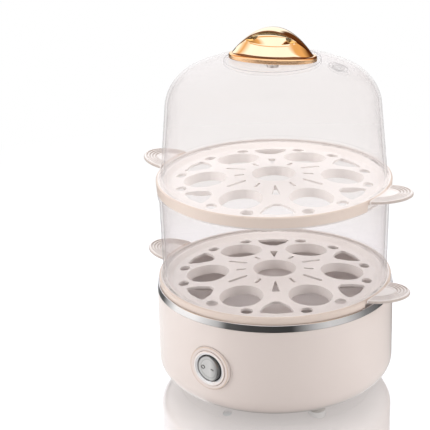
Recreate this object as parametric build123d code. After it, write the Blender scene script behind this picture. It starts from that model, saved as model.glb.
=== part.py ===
from build123d import *

import os
from math import atan, atan2, cos, degrees, radians, sin, sqrt, tan

# Two-tier electric egg boiler. Millimetres, +Z up. The origin is the centre of the footprint on the
# table, the rocker switch faces -Y and the cord inlet faces +Y. The steel collar of the base, the
# two identical egg trays, the clear wall between them and the clear lid stack on one axis.

# ---------------------------------------------------------------- fits
LIFT_FIT = 0.4  # radial gap between parts that lift apart by hand
SEAT_FIT = 0.15  # gap round a piece fixed in its pocket
PIN_FIT = 0.05  # radial gap of a pin in its running bore

# ---------------------------------------------------------------- main size
RIM_RADIUS = 82.8  # egg trays' rim; the base, the wall and the lid follow it

# ---------------------------------------------------------------- base shell
BASE_RADIUS = RIM_RADIUS + 1.2
BASE_FLAT_RADIUS = BASE_RADIUS - 30.6  # where the flat underside turns up into the side
BASE_CORNER_HEIGHT = 19.2
BASE_CLEARANCE = 1.8  # underside above the table, held up by the feet
SHELL_WALL = 2.4
SHOULDER_Z = 72.6  # top edge of the cream side, under the collar
COVER_RADIUS = BASE_RADIUS - 14.0  # parting line of the bottom cover

FOOT_COUNT = 3
FOOT_RADIUS = 6.0
FOOT_CIRCLE = COVER_RADIUS - 8.0
FOOT_STEM_RADIUS = 2.0
FOOT_PAD_TOP = 4.6
FOOT_BOSS_RADIUS = 8.2
FOOT_BOSS_TOP = 8.0
FOOT_BARB_RADIUS = 2.9
FOOT_BARB_HEIGHT = 1.6

COVER_SCREW_CIRCLE = COVER_RADIUS - 6.0
COVER_SCREW_RADIUS = 1.5
COVER_SCREW_HEAD = 3.2
COVER_SCREW_HEAD_HEIGHT = 2.2
COVER_BOSS_TOP = 8.0
TAB_THICKNESS = 6.0
TAB_WIDTH = 14.0
TAB_REACH = 22.0

LUG_HEIGHT = 4.0
LUG_REACH = 9.0
LUG_WIDTH = 20.0

# ---------------------------------------------------------------- steel pan
STEEL = 0.6
COLLAR_TOP_Z = 77.7
COLLAR_FLARE = 0.6  # the collar's outer face leans in by this much towards its top
COLLAR_PROUD = 0.2  # collar's lower edge beyond the cream side
COLLAR_GAP = 0.3  # between collar and shoulder
SEAT_DEPTH = 2.3  # tray seat below the collar's top
PAN_FLOOR_Z = 57.0
PAN_CORNER = 6.0
PAN_DRAFT = 1.2  # the pan's wall leans in by this much towards its floor
SEAL_HEIGHT = 0.7

# ---------------------------------------------------------------- egg tray
BAND_DRAFT = 0.6
RIM_WIDTH = 2.3
RIM_HEIGHT = 7.8  # rim top above the tray's seat
LEDGE_HEIGHT = 6.2  # ledge that carries the wall or the lid
LEDGE_WIDTH = 3.6
TRAY_WALL = 1.8
PLATE_RADIUS = RIM_RADIUS - 9.8
PLATE_EDGE_HEIGHT = 3.6
PLATE_SLOPE = 0.1
SPIGOT_DEPTH = 2.8
BAND_THICKNESS = 1.9

EGG_HOLE_RADIUS = 15.3
EGG_HOLE_DRAFT = 1.2
EGG_SKIRT_DEPTH = 6.5
EGG_CIRCLE = PLATE_RADIUS - 25.0
EGG_COUNT = 6
PLATE_CROWN = EGG_HOLE_RADIUS + 2.0  # the plate is level inside this radius
EGG_PHASE = 30.0  # first outer egg hole, from the line of the handles

LEAF_INNER = PLATE_RADIUS - 21.8
LEAF_OUTER = PLATE_RADIUS - 5.0
LEAF_SHOULDER = PLATE_RADIUS - 7.0
LEAF_HALF_WIDTH = 12.8  # at the shoulder
LEAF_WAIST = LEAF_INNER + 6.0
LEAF_WAIST_HALF_WIDTH = 8.6
LEAF_TIP_HALF_WIDTH = 2.6
LEAF_ROUNDING = 2.2
OVAL_CIRCLE = PLATE_RADIUS - 6.8
OVAL_ANGLE = 12.0
OVAL_LENGTH = 8.8
OVAL_WIDTH = 7.2
LONG_SLOT = (22.6, EGG_CIRCLE - 9.8, 2.8)  # inner radius, outer radius, width
SHORT_SLOT = (20.4, 28.0, 2.2)
ARCH_INNER = 19.5
ARCH_OUTER = EGG_CIRCLE - 10.6
ARCH_HALF_WIDTH = 3.0
ARCH_ROUNDING = 0.6

EAR_CENTRE = RIM_RADIUS - 1.0
EAR_REACH = 22.6
EAR_HALF_WIDTH = 18.0
EAR_THICKNESS = 2.4
EAR_ROOT_TOP = 7.7  # top face of the ear where it leaves the rim
EAR_LIFT_ANGLE = 6.5  # the ear rises outwards
EAR_RIBS = (0.95, 0.85, 0.75, 0.65, 0.55)  # shares of the ear's own outline
EAR_RIB_WIDTH = 1.0
EAR_RIB_HEIGHT = 0.5
NOTCH_HALF_WIDTH = 18.0
NOTCH_HEIGHT = 4.6

LOWER_TURN = 3.4  # how the trays and the lid stand turned on the base
UPPER_TURN = 4.6
LID_TURN = 18.0

# ---------------------------------------------------------------- clear wall and lid
CLEAR_WALL = 1.8
TIER_HEIGHT = 65.6
TIER_FLARE = 1.3  # the wall is this much wider at its top
BEAD_HEIGHT = 4.0
BEAD_PROUD = 0.6
FLANGE_HEIGHT = 4.0
FLANGE_RADIUS = RIM_RADIUS - 0.9

DOME_TAPER = 5.0  # degrees
DOME_SHOULDER_RADIUS = 28.0
DOME_CROWN_RADIUS = 142.0
DOME_APEX_RISE = 89.9  # of the crown's full curve above the lid's foot
LAND_RADIUS = 33.2
LAND_DEPTH = 4.4  # flat under the knob, below the crown's full curve
VENT_RADIUS = 45.8
VENT_COLLAR = 6.7
VENT_HOLE = 4.2
VENT_PROUD = 0.8

# ---------------------------------------------------------------- knob
KNOB_LENGTH = 62.0
KNOB_WIDTH = 28.0
KNOB_PLATE = 3.9
ARCH_RISE = 18.2
ARCH_FOOT_INSET = 0.8
ARCH_RIDGE_HALF = 6.2
ARCH_FOOT_HALF = 12.9
SCOOP_RADIUS = 6.4
SCOOP_OFFSET = 11.4
SCOOP_HEIGHT = 11.8
KNOB_SCREW_RADIUS = 2.0
KNOB_SCREW_HEAD = 4.0
KNOB_SCREW_HEAD_HEIGHT = 2.4
KNOB_SCREW_GRIP = 8.0  # thread length in the arch
WASHER_RADIUS = 6.5
WASHER_THICKNESS = 1.0

# ---------------------------------------------------------------- heater under the pan
PLATE_DISC_RADIUS = 42.0
PLATE_DISC_THICKNESS = 6.0
ELEMENT_CIRCLE = 33.0
ELEMENT_RADIUS = 3.0
ELEMENT_SUNK = 0.5  # element centre above the plate's underside
ELEMENT_SPAN = 320.0
ELEMENT_PIN_BOTTOM = 39.0
INSULATOR_RADIUS = 4.6
INSULATOR_HEIGHT = 4.0
TERMINAL_RADIUS = 1.6
TERMINAL_LENGTH = 6.0
SHIELD_RADIUS = BASE_RADIUS - 8.0
SHIELD_THICKNESS = 0.8
SHIELD_Z = 42.0
SHIELD_HOLE = 28.0
STUD_CIRCLE = BASE_RADIUS - 26.0
STUD_RADIUS = 2.0
STUD_TAIL = 2.0
NUT_FLATS = 7.0
NUT_HEIGHT = 3.2
THERMOSTAT_RADIUS = 8.0
THERMOSTAT_CAP = 4.0
THERMOSTAT_BODY = 5.2
BLADE = (4.8, 0.8)  # width and thickness of the flat terminals
BLADE_LENGTH = 7.0
CLIP_HALF_LENGTH = 20.0
CLIP_WIDTH = 10.0
CLIP_THICKNESS = 0.8
CLIP_SCREW_X = 15.5
CLIP_SCREW_RADIUS = 1.5
CLIP_SCREW_HEAD = 2.8
CLIP_SCREW_HEAD_HEIGHT = 1.8
CLIP_SPACER = 2.6
FUSE_RADIUS = 2.4
FUSE_LENGTH = 14.0
FUSE_Y = -24.5
FUSE_STRAP = 0.6
FUSE_STRAP_WIDTH = 6.0

# ---------------------------------------------------------------- rocker switch
SWITCH_Z = 40.6
ESCUTCHEON_RADIUS = 16.0
ESCUTCHEON_FACE = BASE_RADIUS + 1.0  # distance of its face from the axis of the base
ESCUTCHEON_SLEEVE = 14.8
ESCUTCHEON_BORE = 13.0
POCKET_FLOOR = BASE_RADIUS - 1.8
SLEEVE_BACK = BASE_RADIUS - 7.5
SWITCH_PAD_RADIUS = 19.0
SWITCH_PAD_BACK = BASE_RADIUS - 6.0
BEZEL_FACE = BASE_RADIUS + 1.6
BEZEL_BORE = 10.0
BEZEL_BACK = BASE_RADIUS - 11.0
SWITCH_BODY_BACK = BASE_RADIUS - 24.0
SWITCH_BODY_WALL = 2.0
ROCKER_BALL = 9.7
ROCKER_PIVOT = BASE_RADIUS - 2.0
ROCKER_FACE = 3.0  # middle of the face above the pivot
ROCKER_UNDERSIDE = 3.0
ROCKER_TILT = 8.0
ROCKER_PIN = 1.0
PLUNGER_RADIUS = 1.4
PLUNGER_REACH = 11.0
SEESAW_TILT = 5.0
SEESAW_TOP = BASE_RADIUS - 14.7
SEESAW = (15.0, 5.0, 0.8)
SEESAW_BEAD = 0.7  # radius of the bead it rocks on
CONTACT_GAP = 0.35
LOAD_BLADE_X = -6.4
SWITCH_BLADE_TAIL = 8.0
MARK_DEPTH = 0.25
MARK_RING = (1.5, 0.95)
MARK_BAR = (2.6, 0.6)
MARK_X = 4.6

# ---------------------------------------------------------------- mains side
INLET_Z = 28.0
INLET_HOLE = 6.0
INLET_BORE = 3.4
INLET_FLANGE = 9.0
INLET_PROUD = 3.6
INLET_INSIDE = 4.0
INLET_LOCK = 7.2
BLOCK = (26.0, 16.0, 14.0)
BLOCK_PLACE = (22.0, 30.0)
BLOCK_WAYS = 3
BLOCK_PITCH = 8.0
BLOCK_SCREW_RADIUS = 1.7
BLOCK_SCREW_HEIGHT = 5.0
CLAMP = (27.0, 8.0, 3.5)
CLAMP_Y = 46.0
CLAMP_BOSS_X = 9.6
CLAMP_BOSS_RADIUS = 3.4
CLAMP_BOSS_TOP = 9.0
CLAMP_SCREW_RADIUS = 1.4
CLAMP_SCREW_HEAD = 2.7
CLAMP_SCREW_HEAD_HEIGHT = 2.0
CLAMP_SCREW_DEPTH = 4.5
EARTH_PLACE = (-40.0, 20.0)
EARTH_LUG = (4.0, 0.8)  # radius and thickness
EARTH_SCREW_HEAD = 3.0
EARTH_SCREW_HEIGHT = 2.0
EARTH_SCREW_RADIUS = 1.5
EARTH_SCREW_REACH = 5.0
WIRE_RADIUS = 1.0
WIRE_GAP = 0.3
WIRE_BEND = 3.0
SWITCH_WIRE_Y = 40.0 - BASE_RADIUS  # where the switch's wires turn towards their blades
LIVE_BENDS = ((30.0, 15.0, 8.9), (28.0, -12.0, 16.0), (10.0, -36.0, 34.0), (0.0, SWITCH_WIRE_Y, SWITCH_Z))
SWITCHED_BENDS = (
    (LOAD_BLADE_X, SWITCH_WIRE_Y, SWITCH_Z), (-9.0, -34.0, 33.0), (-8.0, -14.0, 24.0), (-3.84, 0.0, 26.0))
HEATER_BENDS = ((16.5, -24.5, 48.0), (15.1, -16.5, 43.0), (10.0, -8.0, 26.0), (3.84, 0.0, 26.0))
FUSED_BENDS = ((-16.5, -24.5, 48.0), (-15.1, -16.5, 43.0), (-17.0, -2.0, 30.0), (-11.29, 31.0, 24.0))
NEUTRAL_BENDS = ((14.0, 40.4, 8.9), (15.2, 40.0, 19.0), (11.29, 31.0, 25.0))
EARTH_BENDS = ((22.0, 15.0, 8.9), (2.0, 12.0, 13.0), (-22.0, 19.0, 20.0))

# ---------------------------------------------------------------- derived places
CORNER_Z = BASE_CLEARANCE + BASE_CORNER_HEIGHT
SIDE_INNER = BASE_RADIUS - SHELL_WALL
COVER_INSIDE_Z = BASE_CLEARANCE + SHELL_WALL
COLLAR_OUTER = BASE_RADIUS + COLLAR_PROUD
COLLAR_INNER = RIM_RADIUS - BAND_DRAFT + BAND_DRAFT * SEAT_DEPTH / RIM_HEIGHT + LIFT_FIT
COLLAR_LEG = COLLAR_OUTER - STEEL
UPSTAND_OUTER = COLLAR_LEG - LIFT_FIT
SEAT_Z = COLLAR_TOP_Z - SEAT_DEPTH
SPIGOT_OUTER = RIM_RADIUS - BAND_DRAFT - BAND_THICKNESS - 2.0
PAN_INNER = SPIGOT_OUTER + 2 * LIFT_FIT
PAN_UNDERSIDE_Z = PAN_FLOOR_Z - STEEL
LEDGE_OUTER = RIM_RADIUS - RIM_WIDTH
LEDGE_INNER = LEDGE_OUTER - LEDGE_WIDTH
FOOT_RING_OUTER = LEDGE_OUTER - LIFT_FIT  # foot of the clear wall and of the lid
FOOT_RING_INNER = FOOT_RING_OUTER - BEAD_PROUD - CLEAR_WALL
TIER_FOOT_Z = SEAT_Z + LEDGE_HEIGHT
UPPER_SEAT_Z = TIER_FOOT_Z + TIER_HEIGHT
LID_FOOT_Z = UPPER_SEAT_Z + LEDGE_HEIGHT
TIER_MOUTH = SPIGOT_OUTER + LIFT_FIT
CROWN_CENTRE_Z = LID_FOOT_Z + DOME_APEX_RISE - DOME_CROWN_RADIUS
LAND_Z = CROWN_CENTRE_Z + DOME_CROWN_RADIUS - LAND_DEPTH
PLATE_DISC_Z = PAN_UNDERSIDE_Z - PLATE_DISC_THICKNESS
ELEMENT_Z = PLATE_DISC_Z + ELEMENT_SUNK
SHIELD_TOP_Z = SHIELD_Z + SHIELD_THICKNESS
BEZEL_OUTER = ESCUTCHEON_BORE - SEAT_FIT
FOOT_ANGLES = [90.0 + 360.0 / FOOT_COUNT * step for step in range(FOOT_COUNT)]
SCREW_ANGLES = [angle + 60.0 for angle in FOOT_ANGLES]

SWITCH = Plane(origin=(0, 0, SWITCH_Z), x_dir=(1, 0, 0), z_dir=(0, -1, 0))
INLET = Plane(origin=(0, 0, INLET_Z), x_dir=(-1, 0, 0), z_dir=(0, 1, 0))


# ---------------------------------------------------------------- helpers
def turned(*outline):
    """Turn a closed outline of (radius, height) or (radius, height, rounding) corners about Z."""
    face = make_face(Polyline(*[corner[:2] for corner in outline], close=True))
    for corner in outline:
        if len(corner) == 3:
            nearest = face.vertices().sort_by_distance((corner[0], corner[1], 0))[0]
            face = fillet(nearest, corner[2])
    return revolve(Plane.XZ * face, Axis.Z)


def rod(radius, low, high):
    """A round bar on Z between two heights."""
    return Pos(0, 0, low) * Cylinder(radius, high - low, align=(Align.CENTER, Align.CENTER, Align.MIN))


def tube(outer, inner, low, high):
    """A round sleeve on Z between two heights."""
    return rod(outer, low, high) - rod(inner, low - 1, high + 1)


def block(x_size, y_size, low, high):
    """A box centred on Z between two heights."""
    return Pos(0, 0, low) * Box(x_size, y_size, high - low, align=(Align.CENTER, Align.CENTER, Align.MIN))


def around(radius, angles):
    """Locations on a circle about Z, each turned to face outwards along its own X."""
    return [Rot(0, 0, angle) * Pos(radius, 0, 0) for angle in angles]


def group(solids):
    """Separate solids kept in one node."""
    return Compound(children=[piece.solids()[0] for piece in solids])


def wire_through(*points):
    """A wire of straight runs joined by round bends through the points."""
    path = FilletPolyline(*points, radius=WIRE_BEND)
    return sweep(Plane(origin=path @ 0, z_dir=path % 0) * Circle(WIRE_RADIUS), path=path)


# ---------------------------------------------------------------- base shell
def base_form(inset, top_z):
    """The base's outer form drawn in by an inset, solid, up to a height."""
    flat = BASE_FLAT_RADIUS
    low = BASE_CLEARANCE + inset
    side = BASE_RADIUS - inset
    outline = Line((0, low), (flat, low))
    outline += EllipticalCenterArc((flat, CORNER_Z), side - flat, CORNER_Z - low, 270, arc_size=90)
    outline += Polyline((side, CORNER_Z), (side, top_z), (0, top_z), (0, low))
    return revolve(Plane.XZ * make_face(outline), Axis.Z)


def shell_form():
    """Skin of the base with no parting and no openings, up to the seal."""
    top = SEAT_Z - STEEL - SEAL_HEIGHT
    skin = base_form(0, top) - base_form(SHELL_WALL, top + 1)
    return skin - tube(BASE_RADIUS + 1, UPSTAND_OUTER, SHOULDER_Z, top + 1)


def make_housing():
    body = shell_form() - rod(COVER_RADIUS, 0, CORNER_Z)
    inside = base_form(SHELL_WALL / 2, SHOULDER_Z)
    lug = block(LUG_REACH + SHELL_WALL, LUG_WIDTH, SHIELD_TOP_Z, SHIELD_TOP_Z + LUG_HEIGHT)
    lug_radius = SIDE_INNER + (SHELL_WALL - LUG_REACH) / 2
    for place in around(lug_radius, FOOT_ANGLES):
        body += (place * lug) & inside
    tab = block(TAB_REACH, TAB_WIDTH, COVER_BOSS_TOP, COVER_BOSS_TOP + TAB_THICKNESS)
    tab_hole = rod(COVER_SCREW_RADIUS, COVER_BOSS_TOP - 1, COVER_BOSS_TOP + TAB_THICKNESS + 1)
    tab_shift = TAB_REACH / 2 - TAB_WIDTH / 2
    for place in around(COVER_SCREW_CIRCLE, SCREW_ANGLES):
        body += (place * Pos(tab_shift, 0, 0) * tab) & inside
        body -= place * tab_hole
    pad = SWITCH * rod(SWITCH_PAD_RADIUS, SWITCH_PAD_BACK, BASE_RADIUS)
    body += pad & inside
    body -= SWITCH * rod(ESCUTCHEON_RADIUS + SEAT_FIT, POCKET_FLOOR, BASE_RADIUS + 1)
    body -= SWITCH * rod(ESCUTCHEON_SLEEVE + SEAT_FIT, SWITCH_PAD_BACK - 1, BASE_RADIUS)
    body -= INLET * rod(INLET_HOLE, SIDE_INNER - SHELL_WALL, BASE_RADIUS + 1)
    return body


def make_cover():
    body = shell_form() & rod(COVER_RADIUS - SEAT_FIT, 0, CORNER_Z)
    inside = base_form(SHELL_WALL / 2, SHOULDER_Z)
    within = rod(COVER_RADIUS - SEAT_FIT, 0, CORNER_Z)
    for place in around(FOOT_CIRCLE, FOOT_ANGLES):
        body += (place * rod(FOOT_BOSS_RADIUS, 0, FOOT_BOSS_TOP)) & inside & within
        body -= place * rod(FOOT_RADIUS + SEAT_FIT, 0, FOOT_PAD_TOP)
        body -= place * rod(FOOT_STEM_RADIUS + SEAT_FIT, 0, FOOT_BOSS_TOP + 1)
    head_top = BASE_CLEARANCE + 2 * COVER_SCREW_HEAD_HEIGHT
    for place in around(COVER_SCREW_CIRCLE, SCREW_ANGLES):
        boss = rod(COVER_SCREW_HEAD + SHELL_WALL, 0, COVER_BOSS_TOP)
        body += (place * boss) & inside & within
        body -= place * rod(COVER_SCREW_HEAD + SEAT_FIT, 0, head_top)
        body -= place * rod(COVER_SCREW_RADIUS + SEAT_FIT, 0, COVER_BOSS_TOP + 1)
    for side in (-1, 1):
        post = Pos(side * CLAMP_BOSS_X, CLAMP_Y, 0)
        body += post * rod(CLAMP_BOSS_RADIUS, BASE_CLEARANCE + 1, CLAMP_BOSS_TOP)
        body -= post * rod(CLAMP_SCREW_RADIUS, CLAMP_BOSS_TOP - CLAMP_SCREW_DEPTH, CLAMP_BOSS_TOP + 1)
    return body


def make_cover_screws():
    head_top = BASE_CLEARANCE + 2 * COVER_SCREW_HEAD_HEIGHT
    screw = rod(COVER_SCREW_HEAD, head_top - COVER_SCREW_HEAD_HEIGHT, head_top)
    screw += rod(COVER_SCREW_RADIUS, head_top, COVER_BOSS_TOP + TAB_THICKNESS)
    return group(place * screw for place in around(COVER_SCREW_CIRCLE, SCREW_ANGLES))


def make_feet():
    foot = turned(
        (0, 0), (FOOT_RADIUS, 0, 0.8), (FOOT_RADIUS, FOOT_PAD_TOP), (FOOT_STEM_RADIUS, FOOT_PAD_TOP),
        (FOOT_STEM_RADIUS, FOOT_BOSS_TOP), (FOOT_BARB_RADIUS, FOOT_BOSS_TOP),
        (FOOT_STEM_RADIUS, FOOT_BOSS_TOP + FOOT_BARB_HEIGHT), (0, FOOT_BOSS_TOP + FOOT_BARB_HEIGHT),
    )
    return group(place * foot for place in around(FOOT_CIRCLE, FOOT_ANGLES))


# ---------------------------------------------------------------- steel pan
def make_pan():
    leg_low = SHOULDER_Z + COLLAR_GAP
    floor_inner = PAN_INNER - PAN_DRAFT
    ledge_under = SEAT_Z - STEEL
    return turned(
        (COLLAR_OUTER, leg_low), (COLLAR_OUTER - COLLAR_FLARE, COLLAR_TOP_Z, 0.4),
        (COLLAR_INNER, COLLAR_TOP_Z, 0.25), (COLLAR_INNER, SEAT_Z), (PAN_INNER, SEAT_Z, 0.8),
        (floor_inner, PAN_FLOOR_Z, PAN_CORNER), (0, PAN_FLOOR_Z), (0, PAN_UNDERSIDE_Z),
        (floor_inner + STEEL, PAN_UNDERSIDE_Z, PAN_CORNER + STEEL), (PAN_INNER + STEEL, ledge_under),
        (COLLAR_LEG, ledge_under), (COLLAR_LEG, leg_low),
    )


def make_seal():
    low = SEAT_Z - STEEL - SEAL_HEIGHT
    return tube(UPSTAND_OUTER - SEAT_FIT, SIDE_INNER + SEAT_FIT, low, low + SEAL_HEIGHT)


# ---------------------------------------------------------------- egg tray
def plate_top(radius):
    """Height of the tray's sloping plate at a radius."""
    return PLATE_EDGE_HEIGHT + (PLATE_RADIUS - radius) * PLATE_SLOPE


def tray_blank():
    """The tray's rim, ledge, spigot and unpierced plate."""
    band_low = RIM_RADIUS - BAND_DRAFT
    spigot_inner = SPIGOT_OUTER - TRAY_WALL
    ledge_under = LEDGE_HEIGHT - TRAY_WALL
    return turned(
        (0, plate_top(PLATE_CROWN)), (PLATE_CROWN, plate_top(PLATE_CROWN), 6),
        (PLATE_RADIUS, PLATE_EDGE_HEIGHT, 3),
        (LEDGE_INNER, LEDGE_HEIGHT, 0.6), (LEDGE_OUTER, LEDGE_HEIGHT), (LEDGE_OUTER, RIM_HEIGHT, 0.7),
        (RIM_RADIUS, RIM_HEIGHT, 1.2), (band_low, 0), (band_low - BAND_THICKNESS, 0),
        (band_low - BAND_THICKNESS, ledge_under), (SPIGOT_OUTER, ledge_under),
        (SPIGOT_OUTER, -SPIGOT_DEPTH, 0.4), (spigot_inner, -SPIGOT_DEPTH, 0.4),
        (spigot_inner, PLATE_EDGE_HEIGHT - TRAY_WALL / 2),
        (PLATE_RADIUS, PLATE_EDGE_HEIGHT - TRAY_WALL), (PLATE_CROWN, plate_top(PLATE_CROWN) - TRAY_WALL),
        (0, plate_top(PLATE_CROWN) - TRAY_WALL),
    )


def plate_clip():
    """Everything below the middle of the plate's thickness."""
    drop = TRAY_WALL / 2
    low = -4 * SPIGOT_DEPTH
    return turned(
        (0, low), (0, plate_top(PLATE_CROWN) - drop), (PLATE_CROWN, plate_top(PLATE_CROWN) - drop),
        (PLATE_RADIUS, PLATE_EDGE_HEIGHT - drop), (PLATE_RADIUS, low),
    )


def egg_places():
    """The centre hole and the ring of outer holes, each square to the plate's top face there."""
    centre = Pos(0, 0, plate_top(PLATE_CROWN))
    leaning = Pos(0, 0, plate_top(EGG_CIRCLE)) * Rot(0, degrees(atan(PLATE_SLOPE)), 0)
    angles = [EGG_PHASE + 360.0 / EGG_COUNT * step for step in range(EGG_COUNT)]
    return [centre] + [place * leaning for place in around(EGG_CIRCLE, angles)]


def egg_cone(place, low, low_radius, reach):
    """Taper of one egg hole's wall, widening upwards, at a place and from a height."""
    top_radius = low_radius + reach * EGG_HOLE_DRAFT / EGG_SKIRT_DEPTH
    cone = Cone(low_radius, top_radius, reach, align=(Align.CENTER, Align.CENTER, Align.MIN))
    return place * Pos(0, 0, low) * cone


def radial_slot(inner, outer, width):
    """Cutter for a slot with round ends along local X."""
    slot = Pos((inner + outer) / 2, 0, -SPIGOT_DEPTH) * SlotOverall(outer - inner, width)
    return extrude(slot, 6 * SPIGOT_DEPTH)


def slot_cutters():
    """All the steam slots of one tray."""
    deep = 6 * SPIGOT_DEPTH
    leaf_face = make_face(Polyline(
        (LEAF_INNER, -LEAF_TIP_HALF_WIDTH), (LEAF_WAIST, -LEAF_WAIST_HALF_WIDTH),
        (LEAF_SHOULDER, -LEAF_HALF_WIDTH), (LEAF_OUTER, 0), (LEAF_SHOULDER, LEAF_HALF_WIDTH),
        (LEAF_WAIST, LEAF_WAIST_HALF_WIDTH), (LEAF_INNER, LEAF_TIP_HALF_WIDTH), close=True))
    leaf_face = fillet(leaf_face.vertices(), LEAF_ROUNDING)
    leaf = extrude(Pos(0, 0, -SPIGOT_DEPTH) * leaf_face, deep)
    arch_face = make_face(Polyline(
        (ARCH_INNER, 0), (ARCH_OUTER, -ARCH_HALF_WIDTH), (ARCH_OUTER, ARCH_HALF_WIDTH), close=True))
    arch_face = fillet(arch_face.vertices(), ARCH_ROUNDING)
    arch = extrude(Pos(0, 0, -SPIGOT_DEPTH) * arch_face, deep)
    oval = extrude(Pos(0, 0, -SPIGOT_DEPTH) * Rot(0, 0, 90) * SlotOverall(OVAL_LENGTH, OVAL_WIDTH), deep)
    step = 360.0 / EGG_COUNT
    cutters = []
    for index in range(EGG_COUNT):
        between = index * step
        toward_egg = EGG_PHASE + index * step
        cutters.append(Rot(0, 0, between) * leaf)
        inner_slot = arch if index % 3 == 2 else radial_slot(*LONG_SLOT)
        cutters.append(Rot(0, 0, between) * inner_slot)
        cutters.append(Rot(0, 0, toward_egg) * radial_slot(*SHORT_SLOT))
        oval_angles = (toward_egg - OVAL_ANGLE, toward_egg + OVAL_ANGLE)
        cutters += [place * oval for place in around(OVAL_CIRCLE, oval_angles)]
    return cutters


def ear_outline(share, inset=0.0):
    """Oval outline of the handle, scaled about its own centre."""
    return Ellipse(EAR_REACH * share - inset, EAR_HALF_WIDTH * share - inset)


def make_ear():
    """One handle with its grip ribs, growing from the rim along +X."""
    clear_of_rim = RIM_RADIUS + 0.6
    keep_rim = block(EAR_REACH * 2, EAR_HALF_WIDTH * 3, -EAR_REACH, EAR_REACH)
    keep_rim = Pos(RIM_RADIUS - RIM_WIDTH / 2 + EAR_REACH, 0, EAR_ROOT_TOP) * keep_rim
    tilted = Pos(EAR_CENTRE, 0, EAR_ROOT_TOP) * Rot(0, -EAR_LIFT_ANGLE, 0)
    leaf = extrude(ear_outline(1.0), -EAR_THICKNESS)
    leaf = fillet(leaf.edges(), EAR_THICKNESS / 2 - 0.1)
    ear = (tilted * leaf) & keep_rim
    for share in EAR_RIBS:
        rib = extrude(ear_outline(share) - ear_outline(share, EAR_RIB_WIDTH), EAR_RIB_HEIGHT)
        rib = (tilted * rib) & (Pos(clear_of_rim - RIM_RADIUS, 0, 0) * keep_rim)
        ear += rib
    return ear - rod(clear_of_rim - 1, EAR_ROOT_TOP, EAR_REACH)


def make_tray():
    """One egg tray on its own seat plane, handles along X."""
    tray = tray_blank()
    clip = plate_clip()
    reach = 2 * EGG_SKIRT_DEPTH
    for place in egg_places():
        outside = EGG_HOLE_RADIUS - EGG_HOLE_DRAFT + TRAY_WALL
        tray += egg_cone(place, -EGG_SKIRT_DEPTH, outside, reach) & clip
    for angle in (0, 180):
        tray += Rot(0, 0, angle) * make_ear()
        relief = tube(RIM_RADIUS + 1, RIM_RADIUS - BAND_DRAFT - BAND_THICKNESS, -1, NOTCH_HEIGHT)
        window = Pos(RIM_RADIUS, 0, 0) * block(RIM_RADIUS / 2, 2 * NOTCH_HALF_WIDTH, -1, NOTCH_HEIGHT)
        tray -= Rot(0, 0, angle) * (relief & window)
    tray -= slot_cutters()
    for place in egg_places():
        mouth = EGG_HOLE_RADIUS - 2 * EGG_HOLE_DRAFT
        tray -= egg_cone(place, -reach, mouth, 2 * reach)
    return tray


# ---------------------------------------------------------------- clear wall and lid
def make_tier_wall():
    wall_foot = FOOT_RING_OUTER - BEAD_PROUD
    wall_top = wall_foot + TIER_FLARE
    neck = TIER_HEIGHT - FLANGE_HEIGHT
    body = turned(
        (FOOT_RING_INNER, 0, 0.4), (FOOT_RING_OUTER, 0, 0.5), (FOOT_RING_OUTER, BEAD_HEIGHT, 0.4),
        (wall_foot, BEAD_HEIGHT + BEAD_PROUD, 0.4), (wall_top, neck - 1.5, 1), (FLANGE_RADIUS, neck, 0.8),
        (FLANGE_RADIUS, TIER_HEIGHT, 0.5), (TIER_MOUTH, TIER_HEIGHT, 0.4),
        (wall_top - CLEAR_WALL, neck - 1.5, 2), (wall_foot - CLEAR_WALL, BEAD_HEIGHT, 2),
    )
    return Pos(0, 0, TIER_FOOT_Z) * body


def dome_form(inset, cap_z):
    """The lid's form drawn in by an inset: leaning side, shoulder arc and shallow crown."""
    lean = radians(DOME_TAPER)
    across, along = (cos(lean), sin(lean)), (-sin(lean), cos(lean))
    foot = (FOOT_RING_OUTER - BEAD_PROUD, LID_FOOT_Z)
    start = [foot[i] - DOME_SHOULDER_RADIUS * across[i] for i in (0, 1)]
    offset = (start[0], start[1] - CROWN_CENTRE_Z)
    half_b = offset[0] * along[0] + offset[1] * along[1]
    spare = offset[0] ** 2 + offset[1] ** 2 - (DOME_CROWN_RADIUS - DOME_SHOULDER_RADIUS) ** 2
    run = sqrt(half_b**2 - spare) - half_b
    centre = [start[i] + run * along[i] for i in (0, 1)]
    blend_angle = atan2(centre[1] - CROWN_CENTRE_Z, centre[0])
    small = DOME_SHOULDER_RADIUS - inset
    large = DOME_CROWN_RADIUS - inset

    def on_shoulder(angle):
        return (centre[0] + small * cos(angle), centre[1] + small * sin(angle))

    def on_crown(angle):
        return (large * cos(angle), CROWN_CENTRE_Z + large * sin(angle))

    low = (foot[0] - inset / cos(lean) + inset * sin(lean), LID_FOOT_Z - inset)
    upright = radians(90)
    apex = (0, CROWN_CENTRE_Z + large)
    knuckle = on_shoulder(blend_angle)
    outline = Polyline((0, low[1]), low, on_shoulder(lean))
    outline += ThreePointArc(on_shoulder(lean), on_shoulder((lean + blend_angle) / 2), knuckle)
    outline += ThreePointArc(knuckle, on_crown((blend_angle + upright) / 2), apex)
    outline += Line(apex, (0, low[1]))
    form = revolve(Plane.XZ * make_face(outline), Axis.Z)
    return form - rod(LAND_RADIUS + inset, cap_z, cap_z + DOME_CROWN_RADIUS)


def vent_frame():
    """Plane on the crown at the steam vent, facing out."""
    lean = atan2(VENT_RADIUS, sqrt(DOME_CROWN_RADIUS**2 - VENT_RADIUS**2))
    height = CROWN_CENTRE_Z + DOME_CROWN_RADIUS * cos(lean)
    out = (sin(lean), 0, cos(lean))
    face = Plane(origin=(VENT_RADIUS, 0, height), x_dir=(cos(lean), 0, -sin(lean)), z_dir=out)
    return Rot(0, 0, LID_TURN) * face.location


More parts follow.
